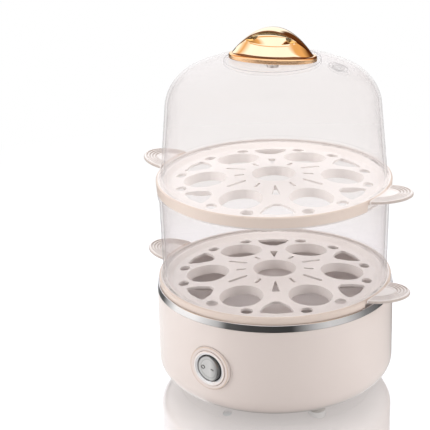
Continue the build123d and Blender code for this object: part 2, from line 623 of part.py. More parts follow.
def make_dome():
    outer = dome_form(0, LAND_Z)
    bead = turned(
        (FOOT_RING_INNER - 1, LID_FOOT_Z), (FOOT_RING_OUTER, LID_FOOT_Z, 0.5),
        (FOOT_RING_OUTER, LID_FOOT_Z + BEAD_HEIGHT, 0.4),
        (FOOT_RING_INNER - 1, LID_FOOT_Z + BEAD_HEIGHT + BEAD_PROUD + CLEAR_WALL + 1),
    )
    vent = vent_frame()
    body = outer + bead + vent * rod(VENT_COLLAR, -CLEAR_WALL / 2, VENT_PROUD)
    body -= dome_form(CLEAR_WALL, LAND_Z - CLEAR_WALL)
    body -= vent * rod(VENT_HOLE, -3 * CLEAR_WALL, 3 * CLEAR_WALL)
    return body - rod(KNOB_SCREW_RADIUS + LIFT_FIT, LAND_Z - 3 * CLEAR_WALL, LAND_Z + 1)


# ---------------------------------------------------------------- knob
def on_lid(piece):
    """Place a knob piece on the lid's land, its length along the lid's own X."""
    return Pos(0, 0, LAND_Z) * Rot(0, 0, LID_TURN) * piece


def make_knob_base():
    plate = extrude(Ellipse(KNOB_LENGTH / 2, KNOB_WIDTH / 2), KNOB_PLATE)
    plate = fillet(plate.edges().group_by(Axis.Z)[-1], KNOB_PLATE * 0.4)
    plate = fillet(plate.edges().group_by(Axis.Z)[0], KNOB_PLATE * 0.2)
    return on_lid(plate - rod(KNOB_SCREW_RADIUS + LIFT_FIT, -1, KNOB_PLATE + 1))


def make_knob_handle():
    half = KNOB_LENGTH / 2 - ARCH_FOOT_INSET - KNOB_PLATE * 0.4
    side_view = make_face(Bezier((-half, 0), (0, 2 * ARCH_RISE), (half, 0)) + Line((half, 0), (-half, 0)))
    arch = extrude(Plane.XZ * side_view, KNOB_WIDTH, both=True)
    ridge_share = ARCH_RIDGE_HALF / ARCH_FOOT_HALF
    stretch = 1.0 - 0.2 * (1.0 - ridge_share)
    wedge = loft([
        Ellipse(half, ARCH_FOOT_HALF),
        Pos(0, 0, ARCH_RISE) * Ellipse(half * stretch, ARCH_RIDGE_HALF),
    ])
    body = arch & wedge
    scoop = Rot(0, 90, 0) * Cylinder(SCOOP_RADIUS, KNOB_LENGTH)
    for side in (-1, 1):
        body -= Pos(0, side * SCOOP_OFFSET, SCOOP_HEIGHT) * scoop
    body -= rod(KNOB_SCREW_RADIUS + PIN_FIT, -1, KNOB_SCREW_GRIP)
    return on_lid(Pos(0, 0, KNOB_PLATE) * body)


def make_knob_washer():
    top = LAND_Z - CLEAR_WALL
    return tube(WASHER_RADIUS, KNOB_SCREW_RADIUS + SEAT_FIT, top - WASHER_THICKNESS, top)


def make_knob_screw():
    seat = LAND_Z - CLEAR_WALL - WASHER_THICKNESS
    tip = LAND_Z + KNOB_PLATE + KNOB_SCREW_GRIP
    screw = rod(KNOB_SCREW_RADIUS, seat, tip) + rod(KNOB_SCREW_HEAD, seat - KNOB_SCREW_HEAD_HEIGHT, seat)
    cross = Box(KNOB_SCREW_HEAD * 1.2, 0.9, 2.0) + Box(0.9, KNOB_SCREW_HEAD * 1.2, 2.0)
    return screw - Pos(0, 0, seat - KNOB_SCREW_HEAD_HEIGHT) * cross


# ---------------------------------------------------------------- heater
def element_form(radius, pin_bottom):
    """The tubular element: an open ring with two cold pins turned down."""
    gap = (360.0 - ELEMENT_SPAN) / 2
    ring = CenterArc((0, 0, ELEMENT_Z), ELEMENT_CIRCLE, 90 + gap, ELEMENT_SPAN)
    form = sweep(Plane(origin=ring @ 0, z_dir=ring % 0) * Circle(radius), path=ring)
    for angle in (90 - gap, 90 + gap):
        place = Rot(0, 0, angle) * Pos(ELEMENT_CIRCLE, 0, 0)
        form += place * Pos(0, 0, ELEMENT_Z) * Sphere(radius)
        form += place * rod(radius, pin_bottom, ELEMENT_Z)
    return form


def pin_places():
    """Where the element's two cold pins come down."""
    gap = (360.0 - ELEMENT_SPAN) / 2
    return around(ELEMENT_CIRCLE, (90 - gap, 90 + gap))


def make_heat_plate():
    disc = rod(PLATE_DISC_RADIUS, PLATE_DISC_Z, PAN_UNDERSIDE_Z)
    disc = chamfer(disc.edges().group_by(Axis.Z)[0], 1.0)
    disc -= element_form(ELEMENT_RADIUS + PIN_FIT, ELEMENT_PIN_BOTTOM)
    for side in (-1, 1):
        disc -= Pos(side * CLIP_SCREW_X, 0, 0) * rod(CLIP_SCREW_RADIUS, PLATE_DISC_Z - 1, PLATE_DISC_Z + 4)
    return disc


def make_insulators():
    low = SHIELD_Z + SHIELD_THICKNESS / 2 - INSULATOR_HEIGHT / 2
    groove = SHIELD_THICKNESS / 2 + PIN_FIT
    ring = tube(INSULATOR_RADIUS, ELEMENT_RADIUS + PIN_FIT, low, low + INSULATOR_HEIGHT)
    middle = SHIELD_Z + SHIELD_THICKNESS / 2
    ring -= tube(INSULATOR_RADIUS + 1, INSULATOR_RADIUS - 0.8, middle - groove, middle + groove)
    return group(place * ring for place in pin_places())


def make_element_terminals():
    post = rod(TERMINAL_RADIUS, ELEMENT_PIN_BOTTOM - TERMINAL_LENGTH, ELEMENT_PIN_BOTTOM)
    return group(place * post for place in pin_places())


def make_shield():
    sheet = rod(SHIELD_RADIUS, SHIELD_Z, SHIELD_TOP_Z) - rod(SHIELD_HOLE, 0, SHIELD_TOP_Z + 1)
    for place in pin_places():
        sheet -= place * rod(INSULATOR_RADIUS - 0.8 + PIN_FIT, 0, SHIELD_TOP_Z + 1)
    for place in around(STUD_CIRCLE, FOOT_ANGLES):
        sheet -= place * rod(STUD_RADIUS + SEAT_FIT, 0, SHIELD_TOP_Z + 1)
    notch_inner = SWITCH_BODY_BACK - SWITCH_BLADE_TAIL - 2
    notch = block(2 * SWITCH_PAD_RADIUS, SHIELD_RADIUS, 0, SHIELD_TOP_Z + 1)
    sheet -= Pos(0, -notch_inner - SHIELD_RADIUS / 2, 0) * notch
    return sheet - Pos(*EARTH_PLACE, 0) * rod(EARTH_SCREW_RADIUS, 0, SHIELD_TOP_Z + 1)


def make_studs():
    stud = rod(STUD_RADIUS, SHIELD_Z - NUT_HEIGHT - STUD_TAIL, PAN_UNDERSIDE_Z)
    return group(place * stud for place in around(STUD_CIRCLE, FOOT_ANGLES))


def make_nuts():
    nut = extrude(RegularPolygon(NUT_FLATS / 2, 6, major_radius=False), NUT_HEIGHT)
    nut = Pos(0, 0, SHIELD_Z - NUT_HEIGHT) * nut - rod(STUD_RADIUS + PIN_FIT, 0, SHIELD_Z + 1)
    return group(place * nut for place in around(STUD_CIRCLE, FOOT_ANGLES))


def make_thermostat():
    cap_low = PLATE_DISC_Z - THERMOSTAT_CAP
    cap = rod(THERMOSTAT_RADIUS, cap_low, PLATE_DISC_Z)
    return fillet(cap.edges().group_by(Axis.Z)[-1], 0.8)


def make_thermostat_body():
    high = PLATE_DISC_Z - THERMOSTAT_CAP
    low = high - THERMOSTAT_BODY
    body = rod(THERMOSTAT_RADIUS - 1.0, low, high)
    for side in (-1, 1):
        body -= Pos(side * BLADE[0] * 0.8, 0, 0) * block(BLADE[1], BLADE[0], low - 1, low + 2)
    return body


def make_thermostat_blades():
    low = PLATE_DISC_Z - THERMOSTAT_CAP - THERMOSTAT_BODY
    blade = block(BLADE[1], BLADE[0], low - BLADE_LENGTH, low + 2)
    return group(Pos(side * BLADE[0] * 0.8, 0, 0) * blade for side in (-1, 1))


def make_thermostat_clip():
    top = PLATE_DISC_Z - THERMOSTAT_CAP
    strip = extrude(SlotOverall(2 * CLIP_HALF_LENGTH, CLIP_WIDTH + 2 * CLIP_SPACER), CLIP_THICKNESS)
    strip = Pos(0, 0, top - CLIP_THICKNESS) * strip
    strip -= rod(THERMOSTAT_RADIUS - 1.0 + SEAT_FIT, top - 2, top + 1)
    for side in (-1, 1):
        strip -= Pos(side * CLIP_SCREW_X, 0, 0) * rod(CLIP_SCREW_RADIUS + SEAT_FIT, top - 2, top + 1)
    return strip


def make_clip_spacers():
    top = PLATE_DISC_Z - THERMOSTAT_CAP
    sleeve = tube(CLIP_SPACER, CLIP_SCREW_RADIUS + SEAT_FIT, top, PLATE_DISC_Z)
    return group(Pos(side * CLIP_SCREW_X, 0, 0) * sleeve for side in (-1, 1))


def make_clip_screws():
    seat = PLATE_DISC_Z - THERMOSTAT_CAP - CLIP_THICKNESS
    screw = rod(CLIP_SCREW_RADIUS, seat, PLATE_DISC_Z + 4)
    screw += rod(CLIP_SCREW_HEAD, seat - CLIP_SCREW_HEAD_HEIGHT, seat)
    return group(Pos(side * CLIP_SCREW_X, 0, 0) * screw for side in (-1, 1))


def fuse_place():
    """Axis frame of the thermal fuse, along X under the heat plate."""
    return Pos(0, FUSE_Y, PLATE_DISC_Z - FUSE_RADIUS) * Rot(0, 90, 0)


def make_fuse():
    body = Cylinder(FUSE_RADIUS, FUSE_LENGTH)
    body += Cylinder(WIRE_RADIUS / 2, FUSE_LENGTH + 4 * FUSE_RADIUS)
    return fuse_place() * body


def make_fuse_strap():
    centre_z = PLATE_DISC_Z - FUSE_RADIUS
    outer = FUSE_RADIUS + PIN_FIT + FUSE_STRAP
    band = Cylinder(outer, FUSE_STRAP_WIDTH) - Cylinder(FUSE_RADIUS + PIN_FIT, FUSE_STRAP_WIDTH + 1)
    lower_half = Pos(0, FUSE_Y, centre_z - outer) * Box(FUSE_STRAP_WIDTH, 2 * outer, 2 * outer)
    strap = (fuse_place() * band) & lower_half
    for side in (-1, 1):
        y = FUSE_Y + side * (outer - FUSE_STRAP / 2)
        strap += Pos(0, y, 0) * block(FUSE_STRAP_WIDTH, FUSE_STRAP, centre_z - PIN_FIT, PLATE_DISC_Z)
    return strap


# ---------------------------------------------------------------- rocker switch
def make_escutcheon():
    ring = turned(
        (ESCUTCHEON_BORE, SLEEVE_BACK), (ESCUTCHEON_SLEEVE, SLEEVE_BACK, 0.3),
        (ESCUTCHEON_SLEEVE, POCKET_FLOOR),
        (ESCUTCHEON_RADIUS, POCKET_FLOOR), (ESCUTCHEON_RADIUS, ESCUTCHEON_FACE, 0.9),
        (ESCUTCHEON_BORE, ESCUTCHEON_FACE, 0.4),
    )
    return SWITCH * ring


def make_bezel():
    ring = turned(
        (BEZEL_BORE, BEZEL_BACK), (BEZEL_OUTER, BEZEL_BACK), (BEZEL_OUTER, BEZEL_FACE, 0.5),
        (BEZEL_BORE + 1.3, BEZEL_FACE, 0.4), (BEZEL_BORE, BEZEL_FACE - 0.9, 0.2),
    )
    return SWITCH * ring - make_pin_form(ROCKER_PIN)


def make_pin_form(radius):
    """The rocker's pivot pin along Z, right through the bezel's wall."""
    half = BEZEL_OUTER - SEAT_FIT
    return Pos(0, -ROCKER_PIVOT, SWITCH_Z) * Cylinder(radius, 2 * half)


def tilted_rocker(piece):
    """Turn a piece given about the rocker's pivot to the off position and place it."""
    return Pos(0, -ROCKER_PIVOT, SWITCH_Z) * Rot(0, 0, -ROCKER_TILT) * piece


def rocker_profile(face_height):
    """Side view of the rocker about its pivot: a shallow valley between two faces."""
    rise = ROCKER_BALL * tan(radians(ROCKER_TILT))
    corners = [
        (-ROCKER_BALL, ROCKER_UNDERSIDE), (-ROCKER_BALL, -face_height - rise), (0, -face_height),
        (ROCKER_BALL, -face_height - rise), (ROCKER_BALL, ROCKER_UNDERSIDE),
    ]
    return extrude(make_face(Polyline(*corners, close=True)), 2 * ROCKER_BALL, both=True)


def make_rocker():
    body = Sphere(ROCKER_BALL) & rocker_profile(ROCKER_FACE)
    body = fillet(body.edges().filter_by(lambda edge: edge.center().Y < -ROCKER_FACE - 0.3), 0.5)
    stem = Rot(-90, 0, 0) * (rod(PLUNGER_RADIUS + 1.2, ROCKER_UNDERSIDE - 0.5, PLUNGER_REACH / 2))
    body += stem
    bore = Cylinder(ROCKER_PIN + PIN_FIT, 3 * ROCKER_BALL)
    well = Rot(-90, 0, 0) * rod(PLUNGER_RADIUS + PIN_FIT, 2 * ROCKER_PIN + PIN_FIT, PLUNGER_REACH)
    return tilted_rocker(body - bore - well)


def make_plunger():
    tip = Pos(0, PLUNGER_REACH, 0) * Sphere(PLUNGER_RADIUS)
    pin = Rot(-90, 0, 0) * rod(PLUNGER_RADIUS, 2 * ROCKER_PIN + PIN_FIT, PLUNGER_REACH)
    return tilted_rocker(pin + tip)


def make_marks():
    lean = ROCKER_TILT
    ring = extrude(Circle(MARK_RING[0]) - Circle(MARK_RING[1]), MARK_DEPTH)
    bar = extrude(Rectangle(*MARK_BAR), MARK_DEPTH)
    rise = MARK_X * tan(radians(lean))
    outward = Rot(90, 0, 0)
    left = Pos(-MARK_X, -ROCKER_FACE - rise, 0) * Rot(0, 0, lean) * outward * ring
    right = Pos(MARK_X * 0.8, -ROCKER_FACE - rise * 0.8, 0) * Rot(0, 0, -lean) * outward * bar
    return group([tilted_rocker(left), tilted_rocker(right)])


def make_pivot_pin():
    return make_pin_form(ROCKER_PIN)


def make_switch_body():
    cup = rod(BEZEL_OUTER, SWITCH_BODY_BACK, BEZEL_BACK)
    cup -= rod(BEZEL_OUTER - SWITCH_BODY_WALL, SWITCH_BODY_BACK + SWITCH_BODY_WALL, BEZEL_BACK + 1)
    floor_top = SWITCH_BODY_BACK + SWITCH_BODY_WALL
    slit = block(BLADE[1] + PIN_FIT, BLADE[0] + PIN_FIT, SWITCH_BODY_BACK - 1, floor_top + 1)
    return SWITCH * (cup - slit - Pos(LOAD_BLADE_X, 0, 0) * slit)


def make_seesaw():
    plate = Pos(0, SEESAW[2] / 2, 0) * Box(SEESAW[0], SEESAW[2], SEESAW[1])
    pivot_y = -(SEESAW_TOP - SEESAW[2])
    bar = plate + Cylinder(SEESAW_BEAD, SEESAW[1])
    return Pos(0, pivot_y, SWITCH_Z) * Rot(0, 0, SEESAW_TILT) * Rot(0, 0, 180) * bar


def make_switch_terminals():
    pivot = SEESAW_TOP - SEESAW[2]
    drop = abs(LOAD_BLADE_X) * tan(radians(SEESAW_TILT))
    low = SWITCH_BODY_BACK - SWITCH_BLADE_TAIL
    common = block(BLADE[1], BLADE[0], low, pivot - SEESAW_BEAD - PIN_FIT)
    load = Pos(LOAD_BLADE_X, 0, 0) * block(BLADE[1], BLADE[0], low, pivot - drop - CONTACT_GAP)
    return group([SWITCH * common, SWITCH * load])


# ---------------------------------------------------------------- mains side
def make_inlet_bush():
    out_face = BASE_RADIUS + INLET_PROUD
    bush = rod(INLET_HOLE - PIN_FIT, SIDE_INNER - INLET_INSIDE, out_face)
    flange = rod(INLET_FLANGE, BASE_RADIUS, out_face)
    flange = fillet(flange.edges().group_by(Axis.Z)[-1], 1.6)
    lock = rod(INLET_LOCK, SIDE_INNER - INLET_INSIDE, SIDE_INNER - 1.2)
    bore = rod(INLET_BORE, SIDE_INNER - INLET_INSIDE - 1, out_face + 1)
    body = INLET * (bush + flange + lock - bore)
    beyond = INLET * tube(INLET_FLANGE + 1, INLET_HOLE - PIN_FIT, SIDE_INNER, out_face)
    return body - (base_form(0, SHOULDER_Z) & beyond)


def make_clamp():
    low = CLAMP_BOSS_TOP
    bar = block(CLAMP[0], CLAMP[1], low, low + CLAMP[2])
    bar -= Pos(0, 0, low) * Rot(90, 0, 0) * Cylinder(INLET_BORE - 1, 2 * CLAMP[1])
    for side in (-1, 1):
        hole = rod(CLAMP_SCREW_RADIUS + SEAT_FIT, low - 1, low + CLAMP[2] + 1)
        bar -= Pos(side * CLAMP_BOSS_X, 0, 0) * hole
    return Pos(0, CLAMP_Y, 0) * bar


def make_clamp_screws():
    seat = CLAMP_BOSS_TOP + CLAMP[2]
    screw = rod(CLAMP_SCREW_RADIUS, CLAMP_BOSS_TOP - CLAMP_SCREW_DEPTH, seat)
    screw += rod(CLAMP_SCREW_HEAD, seat, seat + CLAMP_SCREW_HEAD_HEIGHT)
    return group(Pos(side * CLAMP_BOSS_X, CLAMP_Y, 0) * screw for side in (-1, 1))


def way_positions():
    """The X of each of the terminal block's ways."""
    first = BLOCK_PLACE[0] - BLOCK_PITCH * (BLOCK_WAYS - 1) / 2
    return [first + BLOCK_PITCH * way for way in range(BLOCK_WAYS)]


def block_ways():
    """Places of the terminal block's ways."""
    return [Pos(way_x, BLOCK_PLACE[1], 0) for way_x in way_positions()]


def make_terminal_block():
    top = COVER_INSIDE_Z + BLOCK[2]
    body = Pos(*BLOCK_PLACE, 0) * block(BLOCK[0], BLOCK[1], COVER_INSIDE_Z, top)
    for way in block_ways():
        body -= way * rod(BLOCK_SCREW_RADIUS + SEAT_FIT, top - BLOCK_SCREW_HEIGHT - 2, top + 1)
        body -= way * Pos(0, 0, COVER_INSIDE_Z + BLOCK[2] / 3) * Rot(90, 0, 0) * Cylinder(
            WIRE_RADIUS + WIRE_GAP, BLOCK[1] + 1)
    return body


def make_block_screws():
    top = COVER_INSIDE_Z + BLOCK[2]
    screw = rod(BLOCK_SCREW_RADIUS, top - BLOCK_SCREW_HEIGHT - 2, top - 1.5)
    screw -= Pos(0, 0, top - 1.5) * Box(2 * BLOCK_SCREW_RADIUS, 0.6, 1.2)
    return group(way * screw for way in block_ways())


def make_earth_lug():
    ring = rod(EARTH_LUG[0], SHIELD_Z - EARTH_LUG[1], SHIELD_Z)
    tail = Pos(EARTH_LUG[0] + 2, 0, 0) * block(6, 3, SHIELD_Z - EARTH_LUG[1], SHIELD_Z)
    eye = rod(EARTH_SCREW_RADIUS + SEAT_FIT, 0, SHIELD_Z + 1)
    return Pos(*EARTH_PLACE, 0) * (ring + tail - eye)


def make_earth_screw():
    seat = SHIELD_Z - EARTH_LUG[1]
    screw = rod(EARTH_SCREW_RADIUS, seat, SHIELD_Z + EARTH_SCREW_REACH)
    screw += rod(EARTH_SCREW_HEAD, seat - EARTH_SCREW_HEIGHT, seat)
    return Pos(*EARTH_PLACE, 0) * screw


def make_wires():
    """The appliance's own inner wires, end to end."""
    way_z = COVER_INSIDE_Z + BLOCK[2] / 3
    ways = way_positions()
    front, back = BLOCK_PLACE[1] - BLOCK[1] / 2, BLOCK_PLACE[1] + BLOCK[1] / 2
    blade_end = SWITCH_BODY_BACK - SWITCH_BLADE_TAIL - WIRE_GAP
    gap = radians((360.0 - ELEMENT_SPAN) / 2)
    pin_x, pin_y = ELEMENT_CIRCLE * sin(gap), ELEMENT_CIRCLE * cos(gap)
    pin_z = ELEMENT_PIN_BOTTOM - TERMINAL_LENGTH - WIRE_GAP
    stat_x = BLADE[0] * 0.8
    stat_z = PLATE_DISC_Z - THERMOSTAT_CAP - THERMOSTAT_BODY - BLADE_LENGTH - WIRE_GAP
    fuse_x = FUSE_LENGTH / 2 + 2 * FUSE_RADIUS + WIRE_GAP
    fuse_z = PLATE_DISC_Z - FUSE_RADIUS
    lug_x = EARTH_PLACE[0] + EARTH_LUG[0] + WIRE_RADIUS
    lug_z = SHIELD_Z - EARTH_LUG[1] - WIRE_RADIUS - WIRE_GAP
    block_ends = [(way_x, front + 2, way_z) for way_x in ways]
    neutral_end = (ways[0], back - 2, way_z)
    common, load = (0, -blade_end, SWITCH_Z), (LOAD_BLADE_X, -blade_end, SWITCH_Z)
    stat_left, stat_right = (-stat_x, 0, stat_z), (stat_x, 0, stat_z)
    fuse_left, fuse_right = (-fuse_x, FUSE_Y, fuse_z), (fuse_x, FUSE_Y, fuse_z)
    pin_left, pin_right = (-pin_x, pin_y, pin_z), (pin_x, pin_y, pin_z)
    lug = (lug_x, EARTH_PLACE[1], lug_z)
    return {
        "live_wire": wire_through(block_ends[2], *LIVE_BENDS, common),
        "switched_wire": wire_through(load, *SWITCHED_BENDS, stat_left),
        "heater_wire": wire_through(fuse_right, *HEATER_BENDS, stat_right),
        "fused_wire": wire_through(fuse_left, *FUSED_BENDS, pin_left),
        "neutral_wire": wire_through(neutral_end, *NEUTRAL_BENDS, pin_right),
        "earth_wire": wire_through(block_ends[1], *EARTH_BENDS, lug),
    }


# ---------------------------------------------------------------- the whole appliance
def make_all():
    tray = make_tray()
    nodes = {
        "lid_dome": make_dome(),
        "knob_base": make_knob_base(),
        "knob_handle": make_knob_handle(),
        "knob_washer": make_knob_washer(),
        "knob_screw": make_knob_screw(),
        "upper_egg_tray": Pos(0, 0, UPPER_SEAT_Z) * Rot(0, 0, UPPER_TURN) * tray,
        "tier_wall": make_tier_wall(),
        "lower_egg_tray": Pos(0, 0, SEAT_Z) * Rot(0, 0, LOWER_TURN) * tray,
        "base_housing": make_housing(),
        "bottom_cover": make_cover(),
        "cover_screws": make_cover_screws(),
        "rubber_feet": make_feet(),
        "water_pan": make_pan(),
        "pan_seal": make_seal(),
        "heat_plate": make_heat_plate(),
        "heating_element": element_form(ELEMENT_RADIUS, ELEMENT_PIN_BOTTOM),
        "element_insulators": make_insulators(),
        "element_terminals": make_element_terminals(),
        "heat_shield": make_shield(),
        "pan_studs": make_studs(),
        "shield_nuts": make_nuts(),
        "thermostat_cap": make_thermostat(),
        "thermostat_body": make_thermostat_body(),
        "thermostat_blades": make_thermostat_blades(),
        "thermostat_clip": make_thermostat_clip(),
        "clip_spacers": make_clip_spacers(),
        "clip_screws": make_clip_screws(),
        "thermal_fuse": make_fuse(),
        "fuse_strap": make_fuse_strap(),
        "switch_escutcheon": make_escutcheon(),
        "switch_bezel": make_bezel(),
        "switch_rocker": make_rocker(),
        "rocker_marks": make_marks(),
        "rocker_pivot_pin": make_pivot_pin(),
        "rocker_plunger": make_plunger(),
        "contact_seesaw": make_seesaw(),
        "switch_body": make_switch_body(),
        "switch_terminals": make_switch_terminals(),
        "cord_inlet_bush": make_inlet_bush(),
        "cord_clamp": make_clamp(),
        "clamp_screws": make_clamp_screws(),
        "terminal_block": make_terminal_block(),
        "block_screws": make_block_screws(),
        "earth_lug": make_earth_lug(),
        "earth_screw": make_earth_screw(),
    }
    nodes.update(make_wires())
    return nodes


os.makedirs("parts", exist_ok=True)
for name, part in make_all().items():
    export_step(part, f"parts/{name}.step")
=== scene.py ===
"""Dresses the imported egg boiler: finishes for its solids, a finer knob grip, a stage and a camera."""

from math import cos, pi, radians, sin, sqrt, tau

import bmesh
import bpy
from bpy.props import FloatProperty, FloatVectorProperty, PointerProperty
from mathutils import Matrix, Vector


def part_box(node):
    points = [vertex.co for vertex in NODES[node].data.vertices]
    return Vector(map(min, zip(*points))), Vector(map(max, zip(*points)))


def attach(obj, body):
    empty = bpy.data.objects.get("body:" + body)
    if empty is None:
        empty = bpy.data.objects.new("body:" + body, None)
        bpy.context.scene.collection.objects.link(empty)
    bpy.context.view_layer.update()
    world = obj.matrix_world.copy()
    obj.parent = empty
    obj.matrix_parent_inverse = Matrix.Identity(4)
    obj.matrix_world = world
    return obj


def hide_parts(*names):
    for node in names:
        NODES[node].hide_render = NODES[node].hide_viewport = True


bl_info = {
    "name": "Egg boiler",
    "version": (1, 0, 0),
    "blender": (4, 5, 0),
    "location": "View3D > Sidebar > Egg boiler",
    "description": "A two-tier electric egg boiler on a pale studio floor",
    "category": "Add Mesh",
}

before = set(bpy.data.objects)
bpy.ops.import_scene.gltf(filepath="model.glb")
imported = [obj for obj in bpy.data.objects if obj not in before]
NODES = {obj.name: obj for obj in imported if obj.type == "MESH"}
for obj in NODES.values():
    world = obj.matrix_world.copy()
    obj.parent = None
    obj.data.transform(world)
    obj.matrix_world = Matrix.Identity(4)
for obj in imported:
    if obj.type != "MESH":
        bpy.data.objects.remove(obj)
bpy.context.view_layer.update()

VIEW_AZIMUTH = -57.5  # degrees round the axis to the camera's side
MIX_FACTOR, MIX_FIRST, MIX_SECOND, MIX_RESULT = 0, 6, 7, 2  # sockets of a Mix node set to colours
MOTTLE_PER_METRE, SHEEN_PER_METRE, GRAIN_PER_METRE = 14, 60, 1400  # features of a moulded surface
SHEEN_LOW, SHEEN_HIGH = 0.88, 1.12  # how its roughness varies
ZINC, BRASS = (0.58, 0.58, 0.57), (0.72, 0.50, 0.22)

# Clear polymer: what one face lets through, and how sharply each effect gathers where it is seen edge on.
LID_TINT, WALL_TINT = (0.974, 0.964, 0.961), (0.950, 0.937, 0.933)
MILK_FALL, SHEEN_FALL, EDGE_LINE_FALL = 3.0, 9.0, 24.0
SHEEN_LEAST = 0.004
EDGE_LINE_LEAST, EDGE_LINE_ADDED = 0.05, 0.35  # strength on the crown, and what is added below it
# Grey of the painted edge lines, which stand in for dark reflection at the clear parts' edges.
LINE_GREY = (0.42, 0.41, 0.42)

# The lid's crown. A painted grey edge line has a centre, a radius and a strength.
LID_TURN = radians(18.0)  # how the lid stands turned on the trays
CROWN_FOOT, CROWN_FADE = 0.228, 0.002  # lowest height of its lines, and the height they come in over
VENT_REACH = 0.0458
VENT_PLACE = (VENT_REACH * cos(LID_TURN), VENT_REACH * sin(LID_TURN))
CROWN_LINES = (((0, 0), 0.0332, 0.45), (VENT_PLACE, 0.0067, 0.35), (VENT_PLACE, 0.0042, 0.25))
LINE_FADE = (0.0001, 0.0005)  # distances from a line over which it fades

# The trays. RIM_COMES, RIM_GOES and EARS_COME are distances from the axis.
# RIM_SHADE_CREAM is painted shade, a darker and warmer cream on the rim's outer side; RIB_SHADE is painted
# shade in the grooves of the ears.
RIM_SHADE_CREAM, RIB_SHADE = (0.72, 0.60, 0.53), (0.46, 0.37, 0.32)
UPPER_TURN, LOWER_TURN = radians(4.6), radians(3.4)  # how the trays stand turned
RIM_COMES, RIM_GOES, EARS_COME = (0.0812, 0.0817), (0.0833, 0.0837), (0.0840, 0.0850)
EAR_CENTRE, EAR_REACH, EAR_HALF_WIDTH = 0.0818, 0.0226, 0.0180  # an ear's oval
FIRST_GROOVE, HALF_RIB_PITCH = 0.5, 0.05  # the grooves between its ribs, as shares of the oval
GROOVE_FADE, GROOVES_COME = (0.010, 0.028), (0.52, 0.56)  # across a groove, and outwards over the ear
GROOVE_STRENGTH = 0.75
TRAY_DULLER = 0.18  # how much rougher the trays are than the base

# The knob's grip.
GRIP_STATIONS = 96  # its cross-sections
SILL_POINTS, HOLLOW_POINTS, CROWN_POINTS = 8, 23, 12  # points up the foot and hollow, and over half the crown
HOLLOW_SHARE = 0.75  # the hollows' depth as a share of their height, where they are low
HOLLOW_DEEPEST = 0.70  # where up the hollow it is deepest
LOW_SILL_SHARE = 0.9  # the sill's height as a share of the edge's, where no hollow fits
FACE_BEND = 1.2  # how the leaning face bends in to the ridge
POLISH_DEPTH = 0.0000006
ROSE_GREEN_BLUE = (0.64, 0.36)  # the plate's green and blue

# The water pan: distances from the axis over which its collar starts, and its looks.
COLLAR_COMES = (0.0800, 0.0804)
SATIN_DARK, SATIN_LIGHT = (0.93, 0.86, 0.845), (0.96, 0.90, 0.885)
INNER_ROUGHNESS, COLLAR_POLISH = 0.34, -0.24  # roughness inside, and what the collar adds
INNER_STEEL, COLLAR_STEEL = 0.3, 0.7  # share of bare steel inside, and what the collar adds

# The switch: distances from its axis at which a colour changes.
SWITCH_HEIGHT = 0.0406
ESCUTCHEON_STEPS, BEZEL_STEPS = (0.0147, 0.0153), (0.0106, 0.0116)
ROCKER_STEPS = (0.0062, 0.0065, 0.0084)
STEP_FADE, STEP_WOBBLE = 0.0006, 0.0002
# Painted shade on the rocker's right side.
SIDE_FADE, SIDE_DARK = (0.001, 0.008), (0.12, 0.12, 0.12)  # where across the rocker it darkens, and to what

# The stage. Lamps have degrees from the camera's side and up from the floor, and a size.
SIDE_LAMP_OFFSET, SIDE_LAMP_RISE, SIDE_LAMP_SIZE = 78, 24, 1.3
TOP_LAMP_OFFSET, TOP_LAMP_RISE, TOP_LAMP_SIZE = 170, 78, 1.6
LAMP_DISTANCE, LAMP_AIM = 2.0, 0.12
FLOOR_RADIUS, FLOOR_POINTS = 1.9, 96
# Distances from the axis over which one look of the floor gives way to the next.
PAPER_RING, MIRROR_RING, CARD_RING, UNDER_RING = (0.25, 0.6), (0.24, 0.40), (0.19, 0.235), (0.085, 0.105)
PAPER_GLOW, UNDER_SHARE, UNDER_GLOW = 0.6, 0.6, 0.55
SENSOR_WIDTH, CLIP_NEAR, CLIP_FAR = 36.0, 0.05, 20.0

# Cards that gloss reflects: degrees from the camera's side (left negative) and brightness or colour.
FAR_CARDS = (
    (-180, 1.0), (-168, 1.0), (-158, 0.12), (-118, 0.12), (-104, 0.8), (-96, 1.2), (-74, 1.2),
    (-50, 0.6), (-42, 0.12), (-22, 0.07), (14, 0.05), (36, 0.6), (46, 0.8), (62, 0.75), (84, 0.28),
    (104, 0.12), (158, 0.12), (168, 1.0), (180, 1.0))
NEAR_CARDS = (
    (-180, 1.0), (-60, 1.0), (-46, 1.0), (-40, 0.4), (-15, 0.15), (10, 0.15), (40, 0.5), (70, 0.85),
    (100, 0.5), (130, 0.15), (180, 0.4))
PALE, AMBER, UMBER = (1.25, 1.28, 1.35), (0.88, 0.50, 0.21), (0.13, 0.045, 0.014)
MID_CARDS = (
    (-180, PALE), (-125, PALE), (-95, AMBER), (-70, PALE), (-5, PALE), (25, PALE), (60, AMBER),
    (95, UMBER), (160, UMBER), (167, PALE), (180, PALE))
HIGH_CARDS = (
    (-180, PALE), (-150, PALE), (-120, AMBER), (60, AMBER), (110, UMBER), (155, UMBER), (165, PALE),
    (180, PALE))
ZENITH_CARDS = (
    (-180, UMBER), (-100, AMBER), (-75, PALE), (30, PALE), (60, AMBER), (100, UMBER), (180, UMBER))
# Cards above the low ones, with the range of the direction's upward part over which they come in.
CARD_LAYERS = (((0.13, 0.20), MID_CARDS), ((0.56, 0.62), HIGH_CARDS), ((0.70, 0.76), ZENITH_CARDS))


# ---------------------------------------------------------------- settings
def tint(name, description, colour):
    """A colour property with its default."""
    return FloatVectorProperty(
        name=name, description=description, subtype="COLOR", size=3, min=0.0, max=1.0, default=colour)


def share(name, description, value):
    """A property from 0 to 1 with its default."""
    return FloatProperty(
        name=name, description=description, subtype="FACTOR", min=0.0, max=1.0, default=value)


